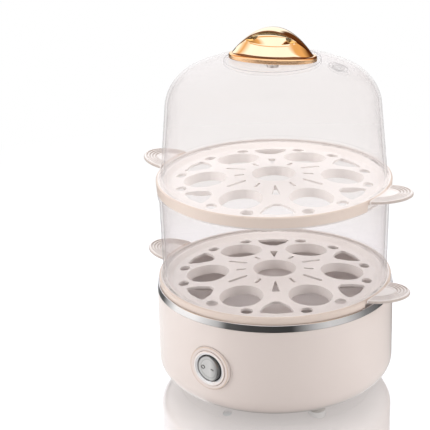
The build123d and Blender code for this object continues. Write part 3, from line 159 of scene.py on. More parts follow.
def length(name, description, value):
    """A length property in metres with its default."""
    return FloatProperty(
        name=name, description=description, unit="LENGTH", subtype="DISTANCE", default=value)


def angle(name, description, degrees):
    """An angle property with its default given in degrees."""
    return FloatProperty(
        name=name, description=description, unit="ROTATION", subtype="ANGLE", default=radians(degrees))


def power(name, description, watts):
    """A lamp's power with its default."""
    return FloatProperty(name=name, description=description, unit="POWER", default=watts)


class EggBoilerColours(bpy.types.PropertyGroup):
    """Colours of the visible finishes."""

    tray_cream: tint("Tray cream", "Colour of the egg trays", (0.87, 0.816, 0.795))
    body_cream: tint("Body cream", "Colour of the base housing", (0.745, 0.652, 0.612))
    clear_haze: tint("Clear haze", "Colour of the haze in the clear lid and wall", (0.84, 0.80, 0.81))
    gold: tint("Gold", "Colour of the polished knob", (1.0, 0.80, 0.54))
    steel: tint("Steel", "Colour of the water pan and its collar", (0.78, 0.76, 0.755))
    silver: tint("Silver", "Colour of the switch rocker", (0.60, 0.59, 0.58))
    floor: tint("Floor", "Colour of the studio floor", (0.97, 0.97, 0.97))


class EggBoilerFinish(bpy.types.PropertyGroup):
    """Strength of the surface effects."""

    haze: share("Haze", "How milky each face of the clear polymer is when seen square on", 0.012)
    edge_haze: share("Edge haze", "How milky it is when seen edge on", 0.30)
    clear_gloss: share("Clear gloss", "Reflection of the clear polymer seen edge on", 0.55)
    cream_roughness: share("Cream roughness", "Roughness of the cream plastic", 0.15)
    floor_mirror: share("Floor mirror", "Share of the floor's look that is reflection", 0.60)


class EggBoilerKnob(bpy.types.PropertyGroup):
    """Sizes of the knob on the lid."""

    foot_half: length("Half length", "Half of the arch's length where it meets its plate", 0.0287)
    foot_width: length("Foot half width", "Half of the arch's width at the plate", 0.0129)
    ridge_width: length("Ridge half width", "Half of the arch's width along its ridge", 0.0062)
    rim_height: length("Rim height", "Height of the plain rim over the hollow", 0.0006)
    crown: length("Crown", "How far the ridge is rounded up across it", 0.0008)
    sill_height: length("Sill height", "Height of the hollow's lower edge", 0.0082)
    sill_rise: length("Sill rise", "How much higher the lower edge would be at the ends", 0.0046)
    hollow: length("Hollow", "Most depth of the finger hollows", 0.0026)


class EggBoilerStage(bpy.types.PropertyGroup):
    """The camera's place and lens, and the levels of the lights."""

    lens: FloatProperty(name="Lens", description="Focal length in millimetres", unit="CAMERA", default=137.6)
    turn: angle("Camera turn", "Angle round the object from the front", 32.5)
    distance: length("Camera distance", "Horizontal distance from the axis", 1.0842)
    height: length("Camera height", "Height above the floor", 0.5417)
    look_height: length("Look height", "Height on the axis that the camera turns to", 0.1312)
    yaw: angle("Yaw", "Turn of the view to the right", -2.064)
    pitch: angle("Pitch", "Tilt of the view upwards", -0.258)
    roll: angle("Roll", "Roll of the view", -0.596)
    sky: FloatProperty(
        name="Sky", description="Level of the even light from all round", min=0.0, default=0.47)
    left_lamp: power("Left lamp", "Power of the left lamp", 17.5)
    right_lamp: power("Right lamp", "Power of the right lamp", 15.0)
    top_lamp: power("Top lamp", "Power of the top lamp", 20.0)


class EggBoilerSettings(bpy.types.PropertyGroup):
    """All the settings of the egg boiler."""

    colours: PointerProperty(type=EggBoilerColours)
    finish: PointerProperty(type=EggBoilerFinish)
    knob: PointerProperty(type=EggBoilerKnob)
    stage: PointerProperty(type=EggBoilerStage)


def settings():
    """The scene's egg boiler settings."""
    return bpy.context.scene.egg_boiler


# ---------------------------------------------------------------- finishes
class Look:
    """A node tree being put together, of a material or of the world."""

    def __init__(self, tree, output):
        self.tree = tree
        tree.nodes.clear()
        self.output = self.node(output)
        self.place = None

    def node(self, kind, **settings_of_node):
        """A new node of a kind, with its settings."""
        made = self.tree.nodes.new("ShaderNode" + kind)
        for key, value in settings_of_node.items():
            setattr(made, key, value)
        return made

    def link(self, source, target):
        """Join an output to an input."""
        self.tree.links.new(source, target)

    def feed(self, socket, value):
        """Give a socket a number, a colour or a link."""
        if isinstance(value, (int, float)):
            socket.default_value = value
        elif isinstance(value, (tuple, list)):
            socket.default_value = (*value[:3], 1.0)
        else:
            self.link(value, socket)

    def position(self):
        """Object coordinates, in metres."""
        if self.place is None:
            self.place = self.node("TexCoord").outputs["Object"]
        return self.place

    def reach(self, place, centre=(0, 0)):
        """Distance in plan from an upright axis."""
        flat = self.node("Mapping")
        flat.inputs["Location"].default_value = (-centre[0], -centre[1], 0)
        flat.inputs["Scale"].default_value = (1, 1, 0)
        self.link(place, flat.inputs["Vector"])
        far = self.node("VectorMath", operation="LENGTH")
        self.link(flat.outputs[0], far.inputs[0])
        return far.outputs["Value"]

    def noise(self, per_metre, detail=2.0, stretch=(1, 1, 1), distortion=0.0):
        """Noise with that many features to a metre, from about 0 to 1."""
        mapping = self.node("Mapping")
        mapping.inputs["Scale"].default_value = stretch
        self.link(self.position(), mapping.inputs["Vector"])
        noise = self.node("TexNoise")
        noise.inputs["Scale"].default_value = per_metre
        noise.inputs["Detail"].default_value = detail
        noise.inputs["Distortion"].default_value = distortion
        self.link(mapping.outputs[0], noise.inputs["Vector"])
        return noise.outputs["Fac"]

    def ranged(self, value, low, high, start=0.3, end=0.7):
        """A value spread over another range."""
        spread = self.node("MapRange")
        spread.inputs["From Min"].default_value = start
        spread.inputs["From Max"].default_value = end
        spread.inputs["To Min"].default_value = low
        spread.inputs["To Max"].default_value = high
        self.link(value, spread.inputs["Value"])
        return spread.outputs[0]

    def math(self, operation, first, second=0.0, third=0.0):
        """A math node on outputs or numbers."""
        made = self.node("Math", operation=operation)
        for socket, value in zip(made.inputs, (first, second, third)):
            self.feed(socket, value)
        return made.outputs[0]

    def blend(self, factor, first, second):
        """A colour between two, by a factor."""
        made = self.node("Mix", data_type="RGBA")
        self.feed(made.inputs[MIX_FACTOR], factor)
        self.feed(made.inputs[MIX_FIRST], first)
        self.feed(made.inputs[MIX_SECOND], second)
        return made.outputs[MIX_RESULT]

    def cards(self, direction, stops):
        """Cards round the axis: stops of degrees from the camera's side and a level or colour."""
        turned = self.node("Mapping")
        turned.inputs["Rotation"].default_value[2] = -radians(VIEW_AZIMUTH)
        self.link(direction, turned.inputs["Vector"])
        round_about = self.node("TexGradient", gradient_type="RADIAL")
        self.link(turned.outputs[0], round_about.inputs[0])
        ramp = self.node("ValToRGB")
        self.link(round_about.outputs["Fac"], ramp.inputs[0])
        elements = ramp.color_ramp.elements
        elements[0].position, elements[1].position = 0.0, 1.0
        between = [elements.new((offset + 180) / 360) for offset, _ in stops[1:-1]]
        chosen = [elements[0], *between, elements[-1]]
        for element, (_, level) in zip(chosen, stops):
            element.color = (*level, 1.0) if isinstance(level, tuple) else (level, level, level, 1.0)
        return ramp.outputs[0]

    def mixed(self, factor, first, second):
        """A shader between two, by a factor."""
        made = self.node("MixShader")
        self.feed(made.inputs[0], factor)
        self.link(first, made.inputs[1])
        self.link(second, made.inputs[2])
        return made.outputs[0]

    def glow(self, strength, colour=(1.0, 1.0, 1.0)):
        """An emission shader."""
        made = self.node("Emission")
        self.feed(made.inputs["Color"], colour)
        made.inputs["Strength"].default_value = strength
        return made.outputs[0]

    def sky(self, strength, colour):
        """A background shader."""
        made = self.node("Background")
        self.feed(made.inputs["Color"], colour)
        made.inputs["Strength"].default_value = strength
        return made.outputs[0]

    def bump(self, height, depth):
        """A normal from a height of that depth in metres."""
        made = self.node("Bump")
        made.inputs["Strength"].default_value = 1.0
        made.inputs["Distance"].default_value = depth
        self.link(height, made.inputs["Height"])
        return made.outputs[0]

    def principled(self, colour, roughness, normal=None, **fixed):
        """A Principled shader; fixed values go straight on its sockets."""
        made = self.node("BsdfPrincipled")
        self.feed(made.inputs["Base Color"], colour)
        self.feed(made.inputs["Roughness"], roughness)
        if normal is not None:
            self.link(normal, made.inputs["Normal"])
        for key, value in fixed.items():
            self.feed(made.inputs[key.replace("_", " ")], value)
        return made.outputs[0]

    def done(self, shader):
        """Give the output its shader."""
        self.link(shader, self.output.inputs["Surface"])


class Finish(Look):
    """One material being put together."""

    def __init__(self, name):
        self.material = bpy.data.materials.new(name)
        self.material.use_nodes = True
        super().__init__(self.material.node_tree, "OutputMaterial")

    def done(self, shader):
        """Give the material its shader and return it."""
        super().done(shader)
        return self.material


def scaled(colour, factor):
    """A colour made lighter or darker."""
    return tuple(min(1.0, channel * factor) for channel in colour[:3])


def moulded(name, colour, roughness, grain=0.00001, mottle=0.02, **fixed):
    """Moulded plastic or rubber: faint flow mottling, uneven gloss and a fine grain."""
    mat = Finish(name)
    cloud = mat.noise(MOTTLE_PER_METRE, 3)
    shade = mat.blend(mat.ranged(cloud, 0, 1), scaled(colour, 1 - mottle), scaled(colour, 1 + mottle))
    gloss = mat.ranged(mat.noise(SHEEN_PER_METRE, 3), roughness * SHEEN_LOW, roughness * SHEEN_HIGH)
    fine = mat.bump(mat.noise(GRAIN_PER_METRE, 2), grain)
    return mat.done(mat.principled(shade, gloss, fine, **fixed))


def metal(name, colour, roughness, depth=0.000004, per_metre=900):
    """Bare metal: a fine even grain, with faint smudges in its gloss."""
    mat = Finish(name)
    grain = mat.noise(per_metre, 3)
    smudge = mat.noise(30, 4, distortion=0.6)
    shade = mat.blend(mat.ranged(smudge, 0, 1), scaled(colour, 0.95), scaled(colour, 1.03))
    dull = mat.ranged(smudge, roughness * 0.8, roughness * 1.15)
    gloss = mat.math("ADD", dull, mat.ranged(grain, -0.02, 0.03))
    return mat.done(mat.principled(shade, gloss, mat.bump(grain, depth), Metallic=1.0))


def clear_polymer(name, tint_through):
    """Clear moulded polymer: a slight milk, more so edge on, a gloss and painted grey edge lines."""
    colours, finish = settings().colours, settings().finish
    mat = Finish(name)
    facing = mat.node("LayerWeight")
    facing.inputs["Blend"].default_value = 0.5
    edge = facing.outputs["Facing"]
    flow = mat.ranged(mat.noise(9, 3, (1, 1, 0.4)), 0.85, 1.15)
    haze = mat.math("MULTIPLY_ADD", mat.math("POWER", edge, MILK_FALL), finish.edge_haze, finish.haze)
    clear = mat.node("BsdfTransparent")
    clear.inputs["Color"].default_value = (*tint_through, 1.0)
    dull = mat.ranged(mat.noise(40, 2), 0.30, 0.42)
    milk = mat.principled(tuple(colours.clear_haze), dull, mat.bump(mat.noise(500, 2), 0.00001))
    body = mat.mixed(mat.math("MULTIPLY", haze, flow), clear.outputs[0], milk)
    gloss = mat.node("BsdfGlossy")
    gloss.inputs["Color"].default_value = (1.0, 1.0, 1.0, 1.0)
    gloss.inputs["Roughness"].default_value = 0.05
    sheen = mat.math("MULTIPLY_ADD", mat.math("POWER", edge, SHEEN_FALL), finish.clear_gloss, SHEEN_LEAST)
    whole = mat.mixed(sheen, body, gloss.outputs[0])
    # Painted grey edge lines: where a face is seen edge on, and round the land and the vent on the crown.
    height = mat.node("SeparateXYZ")
    mat.link(mat.position(), height.inputs[0])
    crown = mat.ranged(height.outputs["Z"], 0, 1, start=CROWN_FOOT, end=CROWN_FOOT + CROWN_FADE)
    below = mat.math("SUBTRACT", 1.0, crown)
    rim_strength = mat.math("MULTIPLY_ADD", below, EDGE_LINE_ADDED, EDGE_LINE_LEAST)
    lines = mat.math("MULTIPLY", mat.math("POWER", edge, EDGE_LINE_FALL), rim_strength)
    for centre, radius, strength in CROWN_LINES:
        off = mat.math("ABSOLUTE", mat.math("SUBTRACT", mat.reach(mat.position(), centre), radius))
        line = mat.math("MULTIPLY", mat.ranged(off, strength, 0, *LINE_FADE), crown)
        lines = mat.math("MAXIMUM", lines, line)
    shade = mat.principled(LINE_GREY, 0.4)
    lined = mat.mixed(lines, whole, shade)
    ray = mat.node("LightPath")
    light_through = mat.math("MAXIMUM", ray.outputs["Is Shadow Ray"], ray.outputs["Is Diffuse Ray"])
    return mat.done(mat.mixed(light_through, lined, mat.node("BsdfTransparent").outputs[0]))


def coat(material, *names):
    """Give CAD nodes a finish in all their material slots."""
    for name in names:
        mesh = NODES[name].data
        mesh.materials.clear()
        mesh.materials.append(material)


# ---------------------------------------------------------------- mesh helpers
def piece(name, mesh, material, body, *replaced, smooth=30.0):
    """A new shown piece that rides on a body and stands for CAD nodes."""
    mesh.materials.append(material)
    mesh.shade_smooth()
    mesh.set_sharp_from_angle(angle=radians(smooth))
    obj = bpy.data.objects.new(name, mesh)
    bpy.context.scene.collection.objects.link(obj)
    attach(obj, body)
    if replaced:
        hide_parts(*replaced)
    return obj


def on_lid(x, y, z):
    """A place turned with the lid."""
    return (x * cos(LID_TURN) - y * sin(LID_TURN), x * sin(LID_TURN) + y * cos(LID_TURN), z)


def ring(radius, height, count):
    """Points round the axis."""
    turns = [tau * step / count for step in range(count)]
    return [(radius * cos(turn), radius * sin(turn), height) for turn in turns]


def spaced(start, end, count):
    """That many numbers from start to end."""
    return [start + (end - start) * step / (count - 1) for step in range(count)]


def skin(name, rows):
    """A mesh through rings of points, capped at its first and last ring; one ring alone makes a disc."""
    shell = bmesh.new()
    rings = [[shell.verts.new(point) for point in row] for row in rows]
    count = len(rings[0])
    for lower, upper in zip(rings, rings[1:]):
        for step in range(count):
            after = (step + 1) % count
            shell.faces.new((lower[step], lower[after], upper[after], upper[step]))
    shell.faces.new(rings[0])
    if len(rings) > 1:
        shell.faces.new(rings[-1])
    bmesh.ops.recalc_face_normals(shell, faces=shell.faces)
    mesh = bpy.data.meshes.new(name)
    shell.to_mesh(mesh)
    shell.free()
    return mesh


# ---------------------------------------------------------------- operators
class EGGBOILER_OT_clear_walls(bpy.types.Operator):
    """Finish the lid's dome and the wall between the trays in clear polymer."""

    bl_idname = "eggboiler.clear_walls"
    bl_label = "Clear lid and wall"

    def execute(self, context):
        coat(clear_polymer("clear_lid", LID_TINT), "lid_dome")
        coat(clear_polymer("clear_wall", WALL_TINT), "tier_wall")
        return {"FINISHED"}


class EGGBOILER_OT_trays(bpy.types.Operator):
    """Finish both egg trays in cream plastic."""

    bl_idname = "eggboiler.trays"
    bl_label = "Egg trays"

    def execute(self, context):
        for node, turn in (("upper_egg_tray", UPPER_TURN), ("lower_egg_tray", LOWER_TURN)):
            coat(self.cream(f"cream_{node}", turn), node)
        return {"FINISHED"}

    def cream(self, name, turn):
        """Cream plastic, with painted shade on the rim's outer side, darker and warmer, and painted shade
        between the ribs of the ears.
        """
        mat = Finish(name)
        colour = tuple(settings().colours.tray_cream)
        flow = mat.ranged(mat.noise(MOTTLE_PER_METRE, 3), 0, 1)
        cream = mat.blend(flow, scaled(colour, 0.98), scaled(colour, 1.02))
        # Painted shade: the rim's outer side takes a darker, warmer cream.
        rim = mat.blend(flow, RIM_SHADE_CREAM, scaled(RIM_SHADE_CREAM, 1.03))
        reach = mat.reach(mat.position())
        rim_starts = mat.ranged(reach, 0, 1, *RIM_COMES)
        rim_ends = mat.ranged(reach, 1, 0, *RIM_GOES)
        side = mat.math("MULTIPLY", rim_starts, rim_ends)
        level = mat.node("SeparateXYZ")
        local = mat.node("Mapping")
        local.inputs["Rotation"].default_value = (0, 0, -turn)
        mat.link(mat.position(), local.inputs["Vector"])
        mat.link(local.outputs[0], level.inputs[0])
        along = mat.math("SUBTRACT", mat.math("ABSOLUTE", level.outputs["X"]), EAR_CENTRE)
        across = mat.math("MULTIPLY", level.outputs["Y"], EAR_REACH / EAR_HALF_WIDTH)
        spot = mat.node("CombineXYZ")
        mat.link(along, spot.inputs["X"])
        mat.link(across, spot.inputs["Y"])
        ear = mat.math("DIVIDE", mat.reach(spot.outputs[0]), EAR_REACH)
        wave = mat.math("PINGPONG", mat.math("SUBTRACT", ear, FIRST_GROOVE), HALF_RIB_PITCH)
        groove = mat.ranged(wave, GROOVE_STRENGTH, 0.0, *GROOVE_FADE)
        groove = mat.math("MULTIPLY", groove, mat.ranged(reach, 0, 1, *EARS_COME))
        groove = mat.math("MULTIPLY", groove, mat.ranged(ear, 0, 1, *GROOVES_COME))
        shade = mat.blend(groove, mat.blend(side, cream, rim), RIB_SHADE)
        dull = settings().finish.cream_roughness + TRAY_DULLER
        gloss = mat.ranged(mat.noise(SHEEN_PER_METRE, 3), dull * SHEEN_LOW, dull * SHEEN_HIGH)
        return mat.done(mat.principled(shade, gloss, mat.bump(mat.noise(GRAIN_PER_METRE, 2), 0.00001)))


class EGGBOILER_OT_knob(bpy.types.Operator):
    """Make the polished gold grip with its hollowed sides, and finish its plate, screw and washer."""

    bl_idname = "eggboiler.knob"
    bl_label = "Knob"

    def execute(self, context):
        colour = tuple(settings().colours.gold)
        gold = metal("polished_gold", colour, 0.05, depth=POLISH_DEPTH)
        rose = (colour[0], *ROSE_GREEN_BLUE)
        coat(metal("rose_gold_plate", rose, 0.06, depth=POLISH_DEPTH), "knob_base")
        coat(moulded("washer_silicone", (0.90, 0.88, 0.87), 0.5), "knob_washer")
        coat(metal("knob_screw_steel", (0.92, 0.90, 0.89), 0.45), "knob_screw")
        size = settings().knob
        low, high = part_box("knob_handle")
        rise = high.z - low.z
        rows = []
        for step in range(1, GRIP_STATIONS):
            along = -cos(pi * step / GRIP_STATIONS)
            row = self.section(size, rise, along)
            rows.append([on_lid(size.foot_half * along, across, low.z + up) for across, up in row])
        grip = piece("gold_grip", skin("gold_grip", rows), gold, "lid", "knob_handle", smooth=38.0)
        # A dark brown finish stands in for light: painted shadow at the grip's feet, painted dark reflection
        # at its rims.
        painted_edge_finish = metal("painted_shadow_edge", (0.22, 0.09, 0.035), 0.25, depth=POLISH_DEPTH)
        grip.data.materials.append(painted_edge_finish)
        # Columns of points painted dark brown: painted shadow along both feet and painted dark reflection
        # along both rims, the far rim with some of the crown.
        rim = SILL_POINTS + HOLLOW_POINTS
        last = len(rows[0]) - 1
        near_rim = {rim - 1, rim, rim + 1}
        far_rim = set(range(last - rim - 5, last - rim + 2))
        painted_dark_columns = ({0, 1}, near_rim, far_rim, {last - 1, last})
        for face in grip.data.polygons:
            columns = {vertex % len(rows[0]) for vertex in face.vertices}
            if len(face.vertices) == 4 and any(columns <= band for band in painted_dark_columns):
                face.material_index = 1
        return {"FINISHED"}

    def section(self, size, rise, along):
        """The grip's outline at a share of its half length, from one foot over the ridge to the other."""
        fall = 1 - along * along
        peak = rise * fall
        foot, ridge = size.foot_width * sqrt(fall), size.ridge_width * fall
        crown = size.crown * fall
        edge = peak - crown
        under_rim = edge - size.rim_height
        sill = size.sill_height + size.sill_rise * along * along
        if under_rim < sill:
            sill = under_rim = edge * LOW_SILL_SHARE
        depth = min(size.hollow, HOLLOW_SHARE * (under_rim - sill))

        def face(up):
            """Distance of the plain leaning face from the middle at a height."""
            return foot - (foot - ridge) * (up / edge) ** FACE_BEND

        side = [(face(up), up) for up in spaced(0, sill, SILL_POINTS)]
        for share_up in spaced(0, 1, HOLLOW_POINTS + 1)[1:]:
            up = sill + (under_rim - sill) * share_up
            if share_up < HOLLOW_DEEPEST:
                inward = sin(share_up / HOLLOW_DEEPEST * pi / 2)
            else:
                inward = cos((share_up - HOLLOW_DEEPEST) / (1 - HOLLOW_DEEPEST) * pi / 2)
            side.append((face(up) - depth * inward, up))
        side.append((face(edge), edge))
        for across in spaced(1, 0, CROWN_POINTS)[1:-1]:
            side.append((ridge * across, edge + crown * (1 - across * across)))
        return [(-across, up) for across, up in side] + [(0, peak)] + side[::-1]


class EGGBOILER_OT_base(bpy.types.Operator):
    """Finish the base housing, its cover, feet and screws."""

    bl_idname = "eggboiler.base"
    bl_label = "Base housing"

    def execute(self, context):
        colour = tuple(settings().colours.body_cream)
        roughness = settings().finish.cream_roughness
        cream = moulded("glossy_cream_housing", colour, roughness, mottle=0.01, Specular_IOR_Level=0.9)
        coat(cream, "base_housing")
        coat(moulded("satin_cream_cover", scaled(colour, 0.95), 0.4, grain=0.00003), "bottom_cover")
        coat(moulded("foot_rubber", (0.62, 0.58, 0.55), 0.6, grain=0.00003), "rubber_feet")
        coat(metal("cover_screw_zinc", ZINC, 0.3), "cover_screws")
        return {"FINISHED"}


class EGGBOILER_OT_pan(bpy.types.Operator):
    """Finish the water pan with its collar in steel, and the seal under it."""

    bl_idname = "eggboiler.pan"
    bl_label = "Water pan"

    def execute(self, context):
        colour = tuple(settings().colours.steel)
        mat = Finish("drawn_steel")
        collar = mat.ranged(mat.reach(mat.position()), 0, 1, *COLLAR_COMES)
        grain = mat.noise(500, 3, (0.15, 0.15, 6))
        smudge = mat.ranged(mat.noise(30, 4, distortion=0.6), 0, 1)
        shade = mat.blend(smudge, scaled(colour, 0.96), scaled(colour, 1.03))
        even = mat.math("MULTIPLY_ADD", collar, COLLAR_POLISH, INNER_ROUGHNESS)
        polish = mat.math("ADD", even, mat.ranged(grain, -0.02, 0.03))
        steel = mat.principled(shade, polish, mat.bump(grain, 0.000003), Metallic=1.0)
        satin = mat.principled(mat.blend(smudge, SATIN_DARK, SATIN_LIGHT), 0.4)
        bare = mat.math("MULTIPLY_ADD", collar, COLLAR_STEEL, INNER_STEEL)
        coat(mat.done(mat.mixed(bare, satin, steel)), "water_pan")
        coat(moulded("seal_silicone", (0.75, 0.74, 0.70), 0.5), "pan_seal")
        return {"FINISHED"}


class EGGBOILER_OT_switch(bpy.types.Operator):
    """Finish the rocker switch."""

    bl_idname = "eggboiler.switch"
    bl_label = "Rocker switch"

    def execute(self, context):
        silver = tuple(settings().colours.silver)
        cream = tuple(settings().colours.body_cream)
        shadow = ((0.62, 0.47, 0.37), cream)
        plate = self.ringed("escutcheon_cream", 0.2, 0.0, 0.0, cream, ESCUTCHEON_STEPS, shadow)
        coat(plate, "switch_escutcheon")
        bright = (0.90, 0.89, 0.90)
        outer = ((0.84, 0.80, 0.79), scaled(cream, 1.12))
        coat(self.ringed("bezel_silver", 0.16, 0.15, 0.0, bright, BEZEL_STEPS, outer), "switch_bezel")
        # Painted shade: the rocker's face darkens in steps towards its rim, to near black at its edge.
        darker = (scaled(silver, 0.55), scaled(silver, 0.9), (0.10, 0.10, 0.10))
        coat(self.ringed("rocker_silver", 0.18, 0.55, 0.7, silver, ROCKER_STEPS, darker), "switch_rocker")
        coat(moulded("rocker_mark", (0.09, 0.085, 0.08), 0.35), "rocker_marks")
        coat(metal("pin_steel", (0.55, 0.55, 0.55), 0.25), "rocker_pivot_pin", "rocker_plunger")
        coat(metal("contact_brass", BRASS, 0.25), "contact_seesaw", "switch_terminals")
        coat(moulded("switch_phenolic", (0.02, 0.02, 0.02), 0.45), "switch_body")
        return {"FINISHED"}

    def ringed(self, name, roughness, metallic, side_shade, middle, steps, colours):
        """A finish that changes colour at steps from the switch's axis, with painted shade coming in towards
        one side.
        """
        mat = Finish(name)
        across = mat.node("Mapping")
        across.inputs["Location"].default_value = (0, 0, -SWITCH_HEIGHT)
        across.inputs["Scale"].default_value = (1, 0, 1)
        mat.link(mat.position(), across.inputs["Vector"])
        far = mat.node("VectorMath", operation="LENGTH")
        mat.link(across.outputs[0], far.inputs[0])
        cloud = mat.ranged(mat.noise(SHEEN_PER_METRE, 3), -STEP_WOBBLE, STEP_WOBBLE)
        reach = mat.math("ADD", far.outputs["Value"], cloud)
        shade = middle
        for step, colour in zip(steps, colours):
            shade = mat.blend(mat.ranged(reach, 0, 1, step, step + STEP_FADE), shade, colour)
        level = mat.node("SeparateXYZ")
        mat.link(mat.position(), level.inputs[0])
        shade = mat.blend(mat.ranged(level.outputs["X"], 0, side_shade, *SIDE_FADE), shade, SIDE_DARK)
        gloss = mat.ranged(mat.noise(90, 3), roughness * 0.85, roughness * 1.15)
        fine = mat.bump(mat.noise(GRAIN_PER_METRE, 2), 0.000004)
        return mat.done(mat.principled(shade, gloss, fine, Metallic=metallic))


class EGGBOILER_OT_heater(bpy.types.Operator):
    """Finish the heater, thermostat and fuse under the pan."""

    bl_idname = "eggboiler.heater"
    bl_label = "Heater"

    def execute(self, context):
        coat(metal("cast_aluminium", (0.60, 0.61, 0.62), 0.42, depth=0.00004, per_metre=600),
             "heat_plate", "thermostat_cap")
        coat(metal("element_sheath", (0.20, 0.19, 0.19), 0.45), "heating_element")
        coat(moulded("white_ceramic", (0.82, 0.80, 0.74), 0.55, grain=0.00004), "element_insulators")
        coat(metal("galvanised_sheet", (0.48, 0.50, 0.51), 0.35, per_metre=120, depth=0.00001),
             "heat_shield", "thermostat_clip", "fuse_strap")
        coat(metal("zinc_fasteners", ZINC, 0.3),
             "element_terminals", "pan_studs", "shield_nuts", "clip_spacers", "clip_screws")
        coat(moulded("thermostat_phenolic", (0.02, 0.02, 0.02), 0.5), "thermostat_body")
        coat(metal("blade_brass", BRASS, 0.28), "thermostat_blades", "thermal_fuse")
        return {"FINISHED"}


class EGGBOILER_OT_mains(bpy.types.Operator):
    """Finish the cord inlet, terminal block, earth lug and inner wires."""

    bl_idname = "eggboiler.mains"
    bl_label = "Mains side"

    def execute(self, context):
        coat(moulded("inlet_rubber", (0.03, 0.03, 0.03), 0.55, grain=0.00003), "cord_inlet_bush")
        coat(moulded("block_phenolic", (0.025, 0.025, 0.025), 0.5), "cord_clamp", "terminal_block")
        coat(metal("mains_screw_zinc", ZINC, 0.3), "clamp_screws", "block_screws", "earth_screw")
        coat(metal("lug_brass", BRASS, 0.3), "earth_lug")
        coat(moulded("brown_sleeve", (0.10, 0.035, 0.015), 0.4), "live_wire", "switched_wire")
        coat(moulded("blue_sleeve", (0.01, 0.045, 0.25), 0.4), "neutral_wire")
        coat(moulded("green_sleeve", (0.04, 0.20, 0.02), 0.4), "earth_wire")
        coat(moulded("glass_sleeve", (0.75, 0.74, 0.68), 0.7, grain=0.00008), "heater_wire", "fused_wire")
        return {"FINISHED"}


class EGGBOILER_OT_stage(bpy.types.Operator):
    """Set out the floor, the soft lights, the world and the camera."""

    bl_idname = "eggboiler.stage"
    bl_label = "Stage"

    def execute(self, context):
        context.scene.view_settings.view_transform = "Standard"
        self.floor()
        self.world()
        place = settings().stage
        left = around(-SIDE_LAMP_OFFSET, SIDE_LAMP_RISE, LAMP_DISTANCE)
        right = around(SIDE_LAMP_OFFSET, SIDE_LAMP_RISE, LAMP_DISTANCE)
        top = around(TOP_LAMP_OFFSET, TOP_LAMP_RISE, LAMP_DISTANCE)
        self.lamp("left_soft_light", left, SIDE_LAMP_SIZE, place.left_lamp)
        self.lamp("right_soft_light", right, SIDE_LAMP_SIZE, place.right_lamp)
        self.lamp("top_soft_light", top, TOP_LAMP_SIZE, place.top_lamp)
        self.camera()
        return {"FINISHED"}

    def floor(self):
        """A pale floor: white with a mirror image to the eye, cards to gloss, matt to the light."""
        look = Finish("studio_floor")
        colour = tuple(settings().colours.floor)
        place = look.position()
        matt = look.node("BsdfDiffuse")
        cloud = look.ranged(look.noise(3, 2), 0, 1)
        look.feed(matt.inputs["Color"], look.blend(cloud, scaled(colour, 0.998), colour))
        white = look.ranged(look.reach(place), PAPER_GLOW, 1.0, *PAPER_RING)
        paper = look.mixed(white, matt.outputs[0], look.glow(1.0))
        mirror = look.node("BsdfGlossy")
        mirror.inputs["Color"].default_value = (1.0, 0.99, 1.0, 1.0)
        mirror.inputs["Roughness"].default_value = 0.07
        close = look.ranged(look.reach(place), settings().finish.floor_mirror, 0, *MIRROR_RING)
        to_eye = look.mixed(close, paper, mirror.outputs[0])
        near = look.ranged(look.reach(place), 0, 1, *CARD_RING)
        cards = look.blend(near, look.cards(place, NEAR_CARDS), look.cards(place, FAR_CARDS))
        to_gloss = look.glow(1.0, cards)
        ray = look.node("LightPath")
        under = look.ranged(look.reach(place), UNDER_SHARE, 0.0, *UNDER_RING)
        table = look.mixed(under, matt.outputs[0], look.glow(UNDER_GLOW))
        lit = look.mixed(ray.outputs["Is Glossy Ray"], table, to_gloss)
        mesh = skin("studio_floor", [ring(FLOOR_RADIUS, 0, FLOOR_POINTS)])
        floor = bpy.data.objects.new("studio_floor", mesh)
        mesh.materials.append(look.done(look.mixed(ray.outputs["Is Camera Ray"], lit, to_eye)))
        bpy.context.scene.collection.objects.link(floor)

    def world(self):
        """White to the eye, an even sky to the light, and cards round about to gloss."""
        world = bpy.data.worlds.new("studio_world")
        world.use_nodes = True
        bpy.context.scene.world = world
        look = Look(world.node_tree, "OutputWorld")
        direction = look.node("TexCoord").outputs["Generated"]
        height = look.node("SeparateXYZ")
        look.link(direction, height.inputs[0])
        cards = look.cards(direction, FAR_CARDS)
        for come_in, upper in CARD_LAYERS:
            share_up = look.ranged(height.outputs["Z"], 0, 1, *come_in)
            cards = look.blend(share_up, cards, look.cards(direction, upper))
        ray = look.node("LightPath")
        even = look.sky(settings().stage.sky, (1.0, 0.995, 0.99))
        gloss = look.mixed(ray.outputs["Is Glossy Ray"], even, look.sky(1.0, cards))
        look.done(look.mixed(ray.outputs["Is Camera Ray"], gloss, look.sky(1.0, (1.0, 1.0, 1.0))))

    def lamp(self, name, place, size, watts):
        """A soft area lamp turned to the middle of the object, kept out of the gloss."""
        light = bpy.data.lights.new(name, "AREA")
        light.shape = "DISK"
        light.size = size
        light.energy = watts
        obj = bpy.data.objects.new(name, light)
        obj.matrix_world = aimed(place, Vector((0, 0, LAMP_AIM)))
        obj.visible_glossy = False
        bpy.context.scene.collection.objects.link(obj)

    def camera(self):
        """The camera, aimed and then turned by its small yaw, pitch and roll."""
        place = settings().stage
        eye = Vector((place.distance * sin(place.turn), -place.distance * cos(place.turn), place.height))
        lens = bpy.data.cameras.new("camera")
        lens.sensor_width = SENSOR_WIDTH
        lens.lens = place.lens
        lens.clip_start = CLIP_NEAR
        lens.clip_end = CLIP_FAR
        obj = bpy.data.objects.new("camera", lens)
        fwd = (Vector((0, 0, place.look_height)) - eye).normalized()
        side = fwd.cross(Vector((0, 0, 1))).normalized()
        up = side.cross(fwd)
        fwd, side = turned(fwd, side, place.yaw)
        fwd, up = turned(fwd, up, place.pitch)
        side, up = turned(side, up, place.roll)
        obj.matrix_world = placed(side, up, -fwd, eye)
        bpy.context.scene.collection.objects.link(obj)
        bpy.context.scene.camera = obj


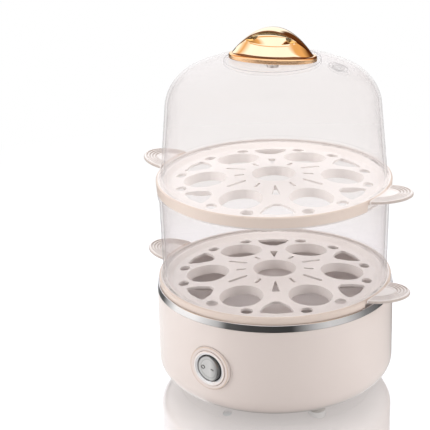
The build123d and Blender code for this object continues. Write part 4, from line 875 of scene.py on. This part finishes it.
def turned(first, second, by):
    """Two axes turned together by an angle, the first towards the second."""
    return cos(by) * first + sin(by) * second, cos(by) * second - sin(by) * first


def placed(x_axis, y_axis, z_axis, origin):
    """A matrix from three axes and an origin."""
    return Matrix((
        (x_axis.x, y_axis.x, z_axis.x, origin.x),
        (x_axis.y, y_axis.y, z_axis.y, origin.y),
        (x_axis.z, y_axis.z, z_axis.z, origin.z),
        (0, 0, 0, 1),
    ))


def aimed(eye, target):
    """A matrix at eye whose -Z points at target."""
    back = (eye - target).normalized()
    side = Vector((0, 0, 1)).cross(back).normalized()
    return placed(side, back.cross(side), back, eye)


def around(offset, elevation, distance):
    """A place that many degrees round from the camera's side and up from the floor."""
    turn, rise = radians(VIEW_AZIMUTH + offset), radians(elevation)
    return Vector((cos(turn) * cos(rise), sin(turn) * cos(rise), sin(rise))) * distance


class EGGBOILER_PT_panel(bpy.types.Panel):
    """Lists the egg boiler's pieces and settings."""

    bl_idname = "EGGBOILER_PT_panel"
    bl_label = "Egg boiler"
    bl_space_type = "VIEW_3D"
    bl_region_type = "UI"
    bl_category = "Egg boiler"

    def draw(self, context):
        for operator in OPERATORS:
            self.layout.operator(operator.bl_idname)
        for group in (settings().colours, settings().finish, settings().knob, settings().stage):
            box = self.layout.box()
            for key in group.bl_rna.properties.keys():
                if key not in ("rna_type", "name"):
                    box.prop(group, key)


OPERATORS = (
    EGGBOILER_OT_stage,
    EGGBOILER_OT_clear_walls,
    EGGBOILER_OT_trays,
    EGGBOILER_OT_knob,
    EGGBOILER_OT_base,
    EGGBOILER_OT_pan,
    EGGBOILER_OT_switch,
    EGGBOILER_OT_heater,
    EGGBOILER_OT_mains,
)
GROUPS = (EggBoilerColours, EggBoilerFinish, EggBoilerKnob, EggBoilerStage, EggBoilerSettings)


def register():
    """Register the settings, operators and panel."""
    for item in (*GROUPS, *OPERATORS, EGGBOILER_PT_panel):
        bpy.utils.register_class(item)
    bpy.types.Scene.egg_boiler = PointerProperty(type=EggBoilerSettings)


def unregister():
    """Take the settings, operators and panel away again."""
    del bpy.types.Scene.egg_boiler
    for item in reversed((*GROUPS, *OPERATORS, EGGBOILER_PT_panel)):
        bpy.utils.unregister_class(item)


def main():
    """Register the settings, then make the stage and every piece."""
    register()
    for operator in OPERATORS:
        group, name = operator.bl_idname.split(".")
        getattr(getattr(bpy.ops, group), name)()


if __name__ == "__main__":
    main()
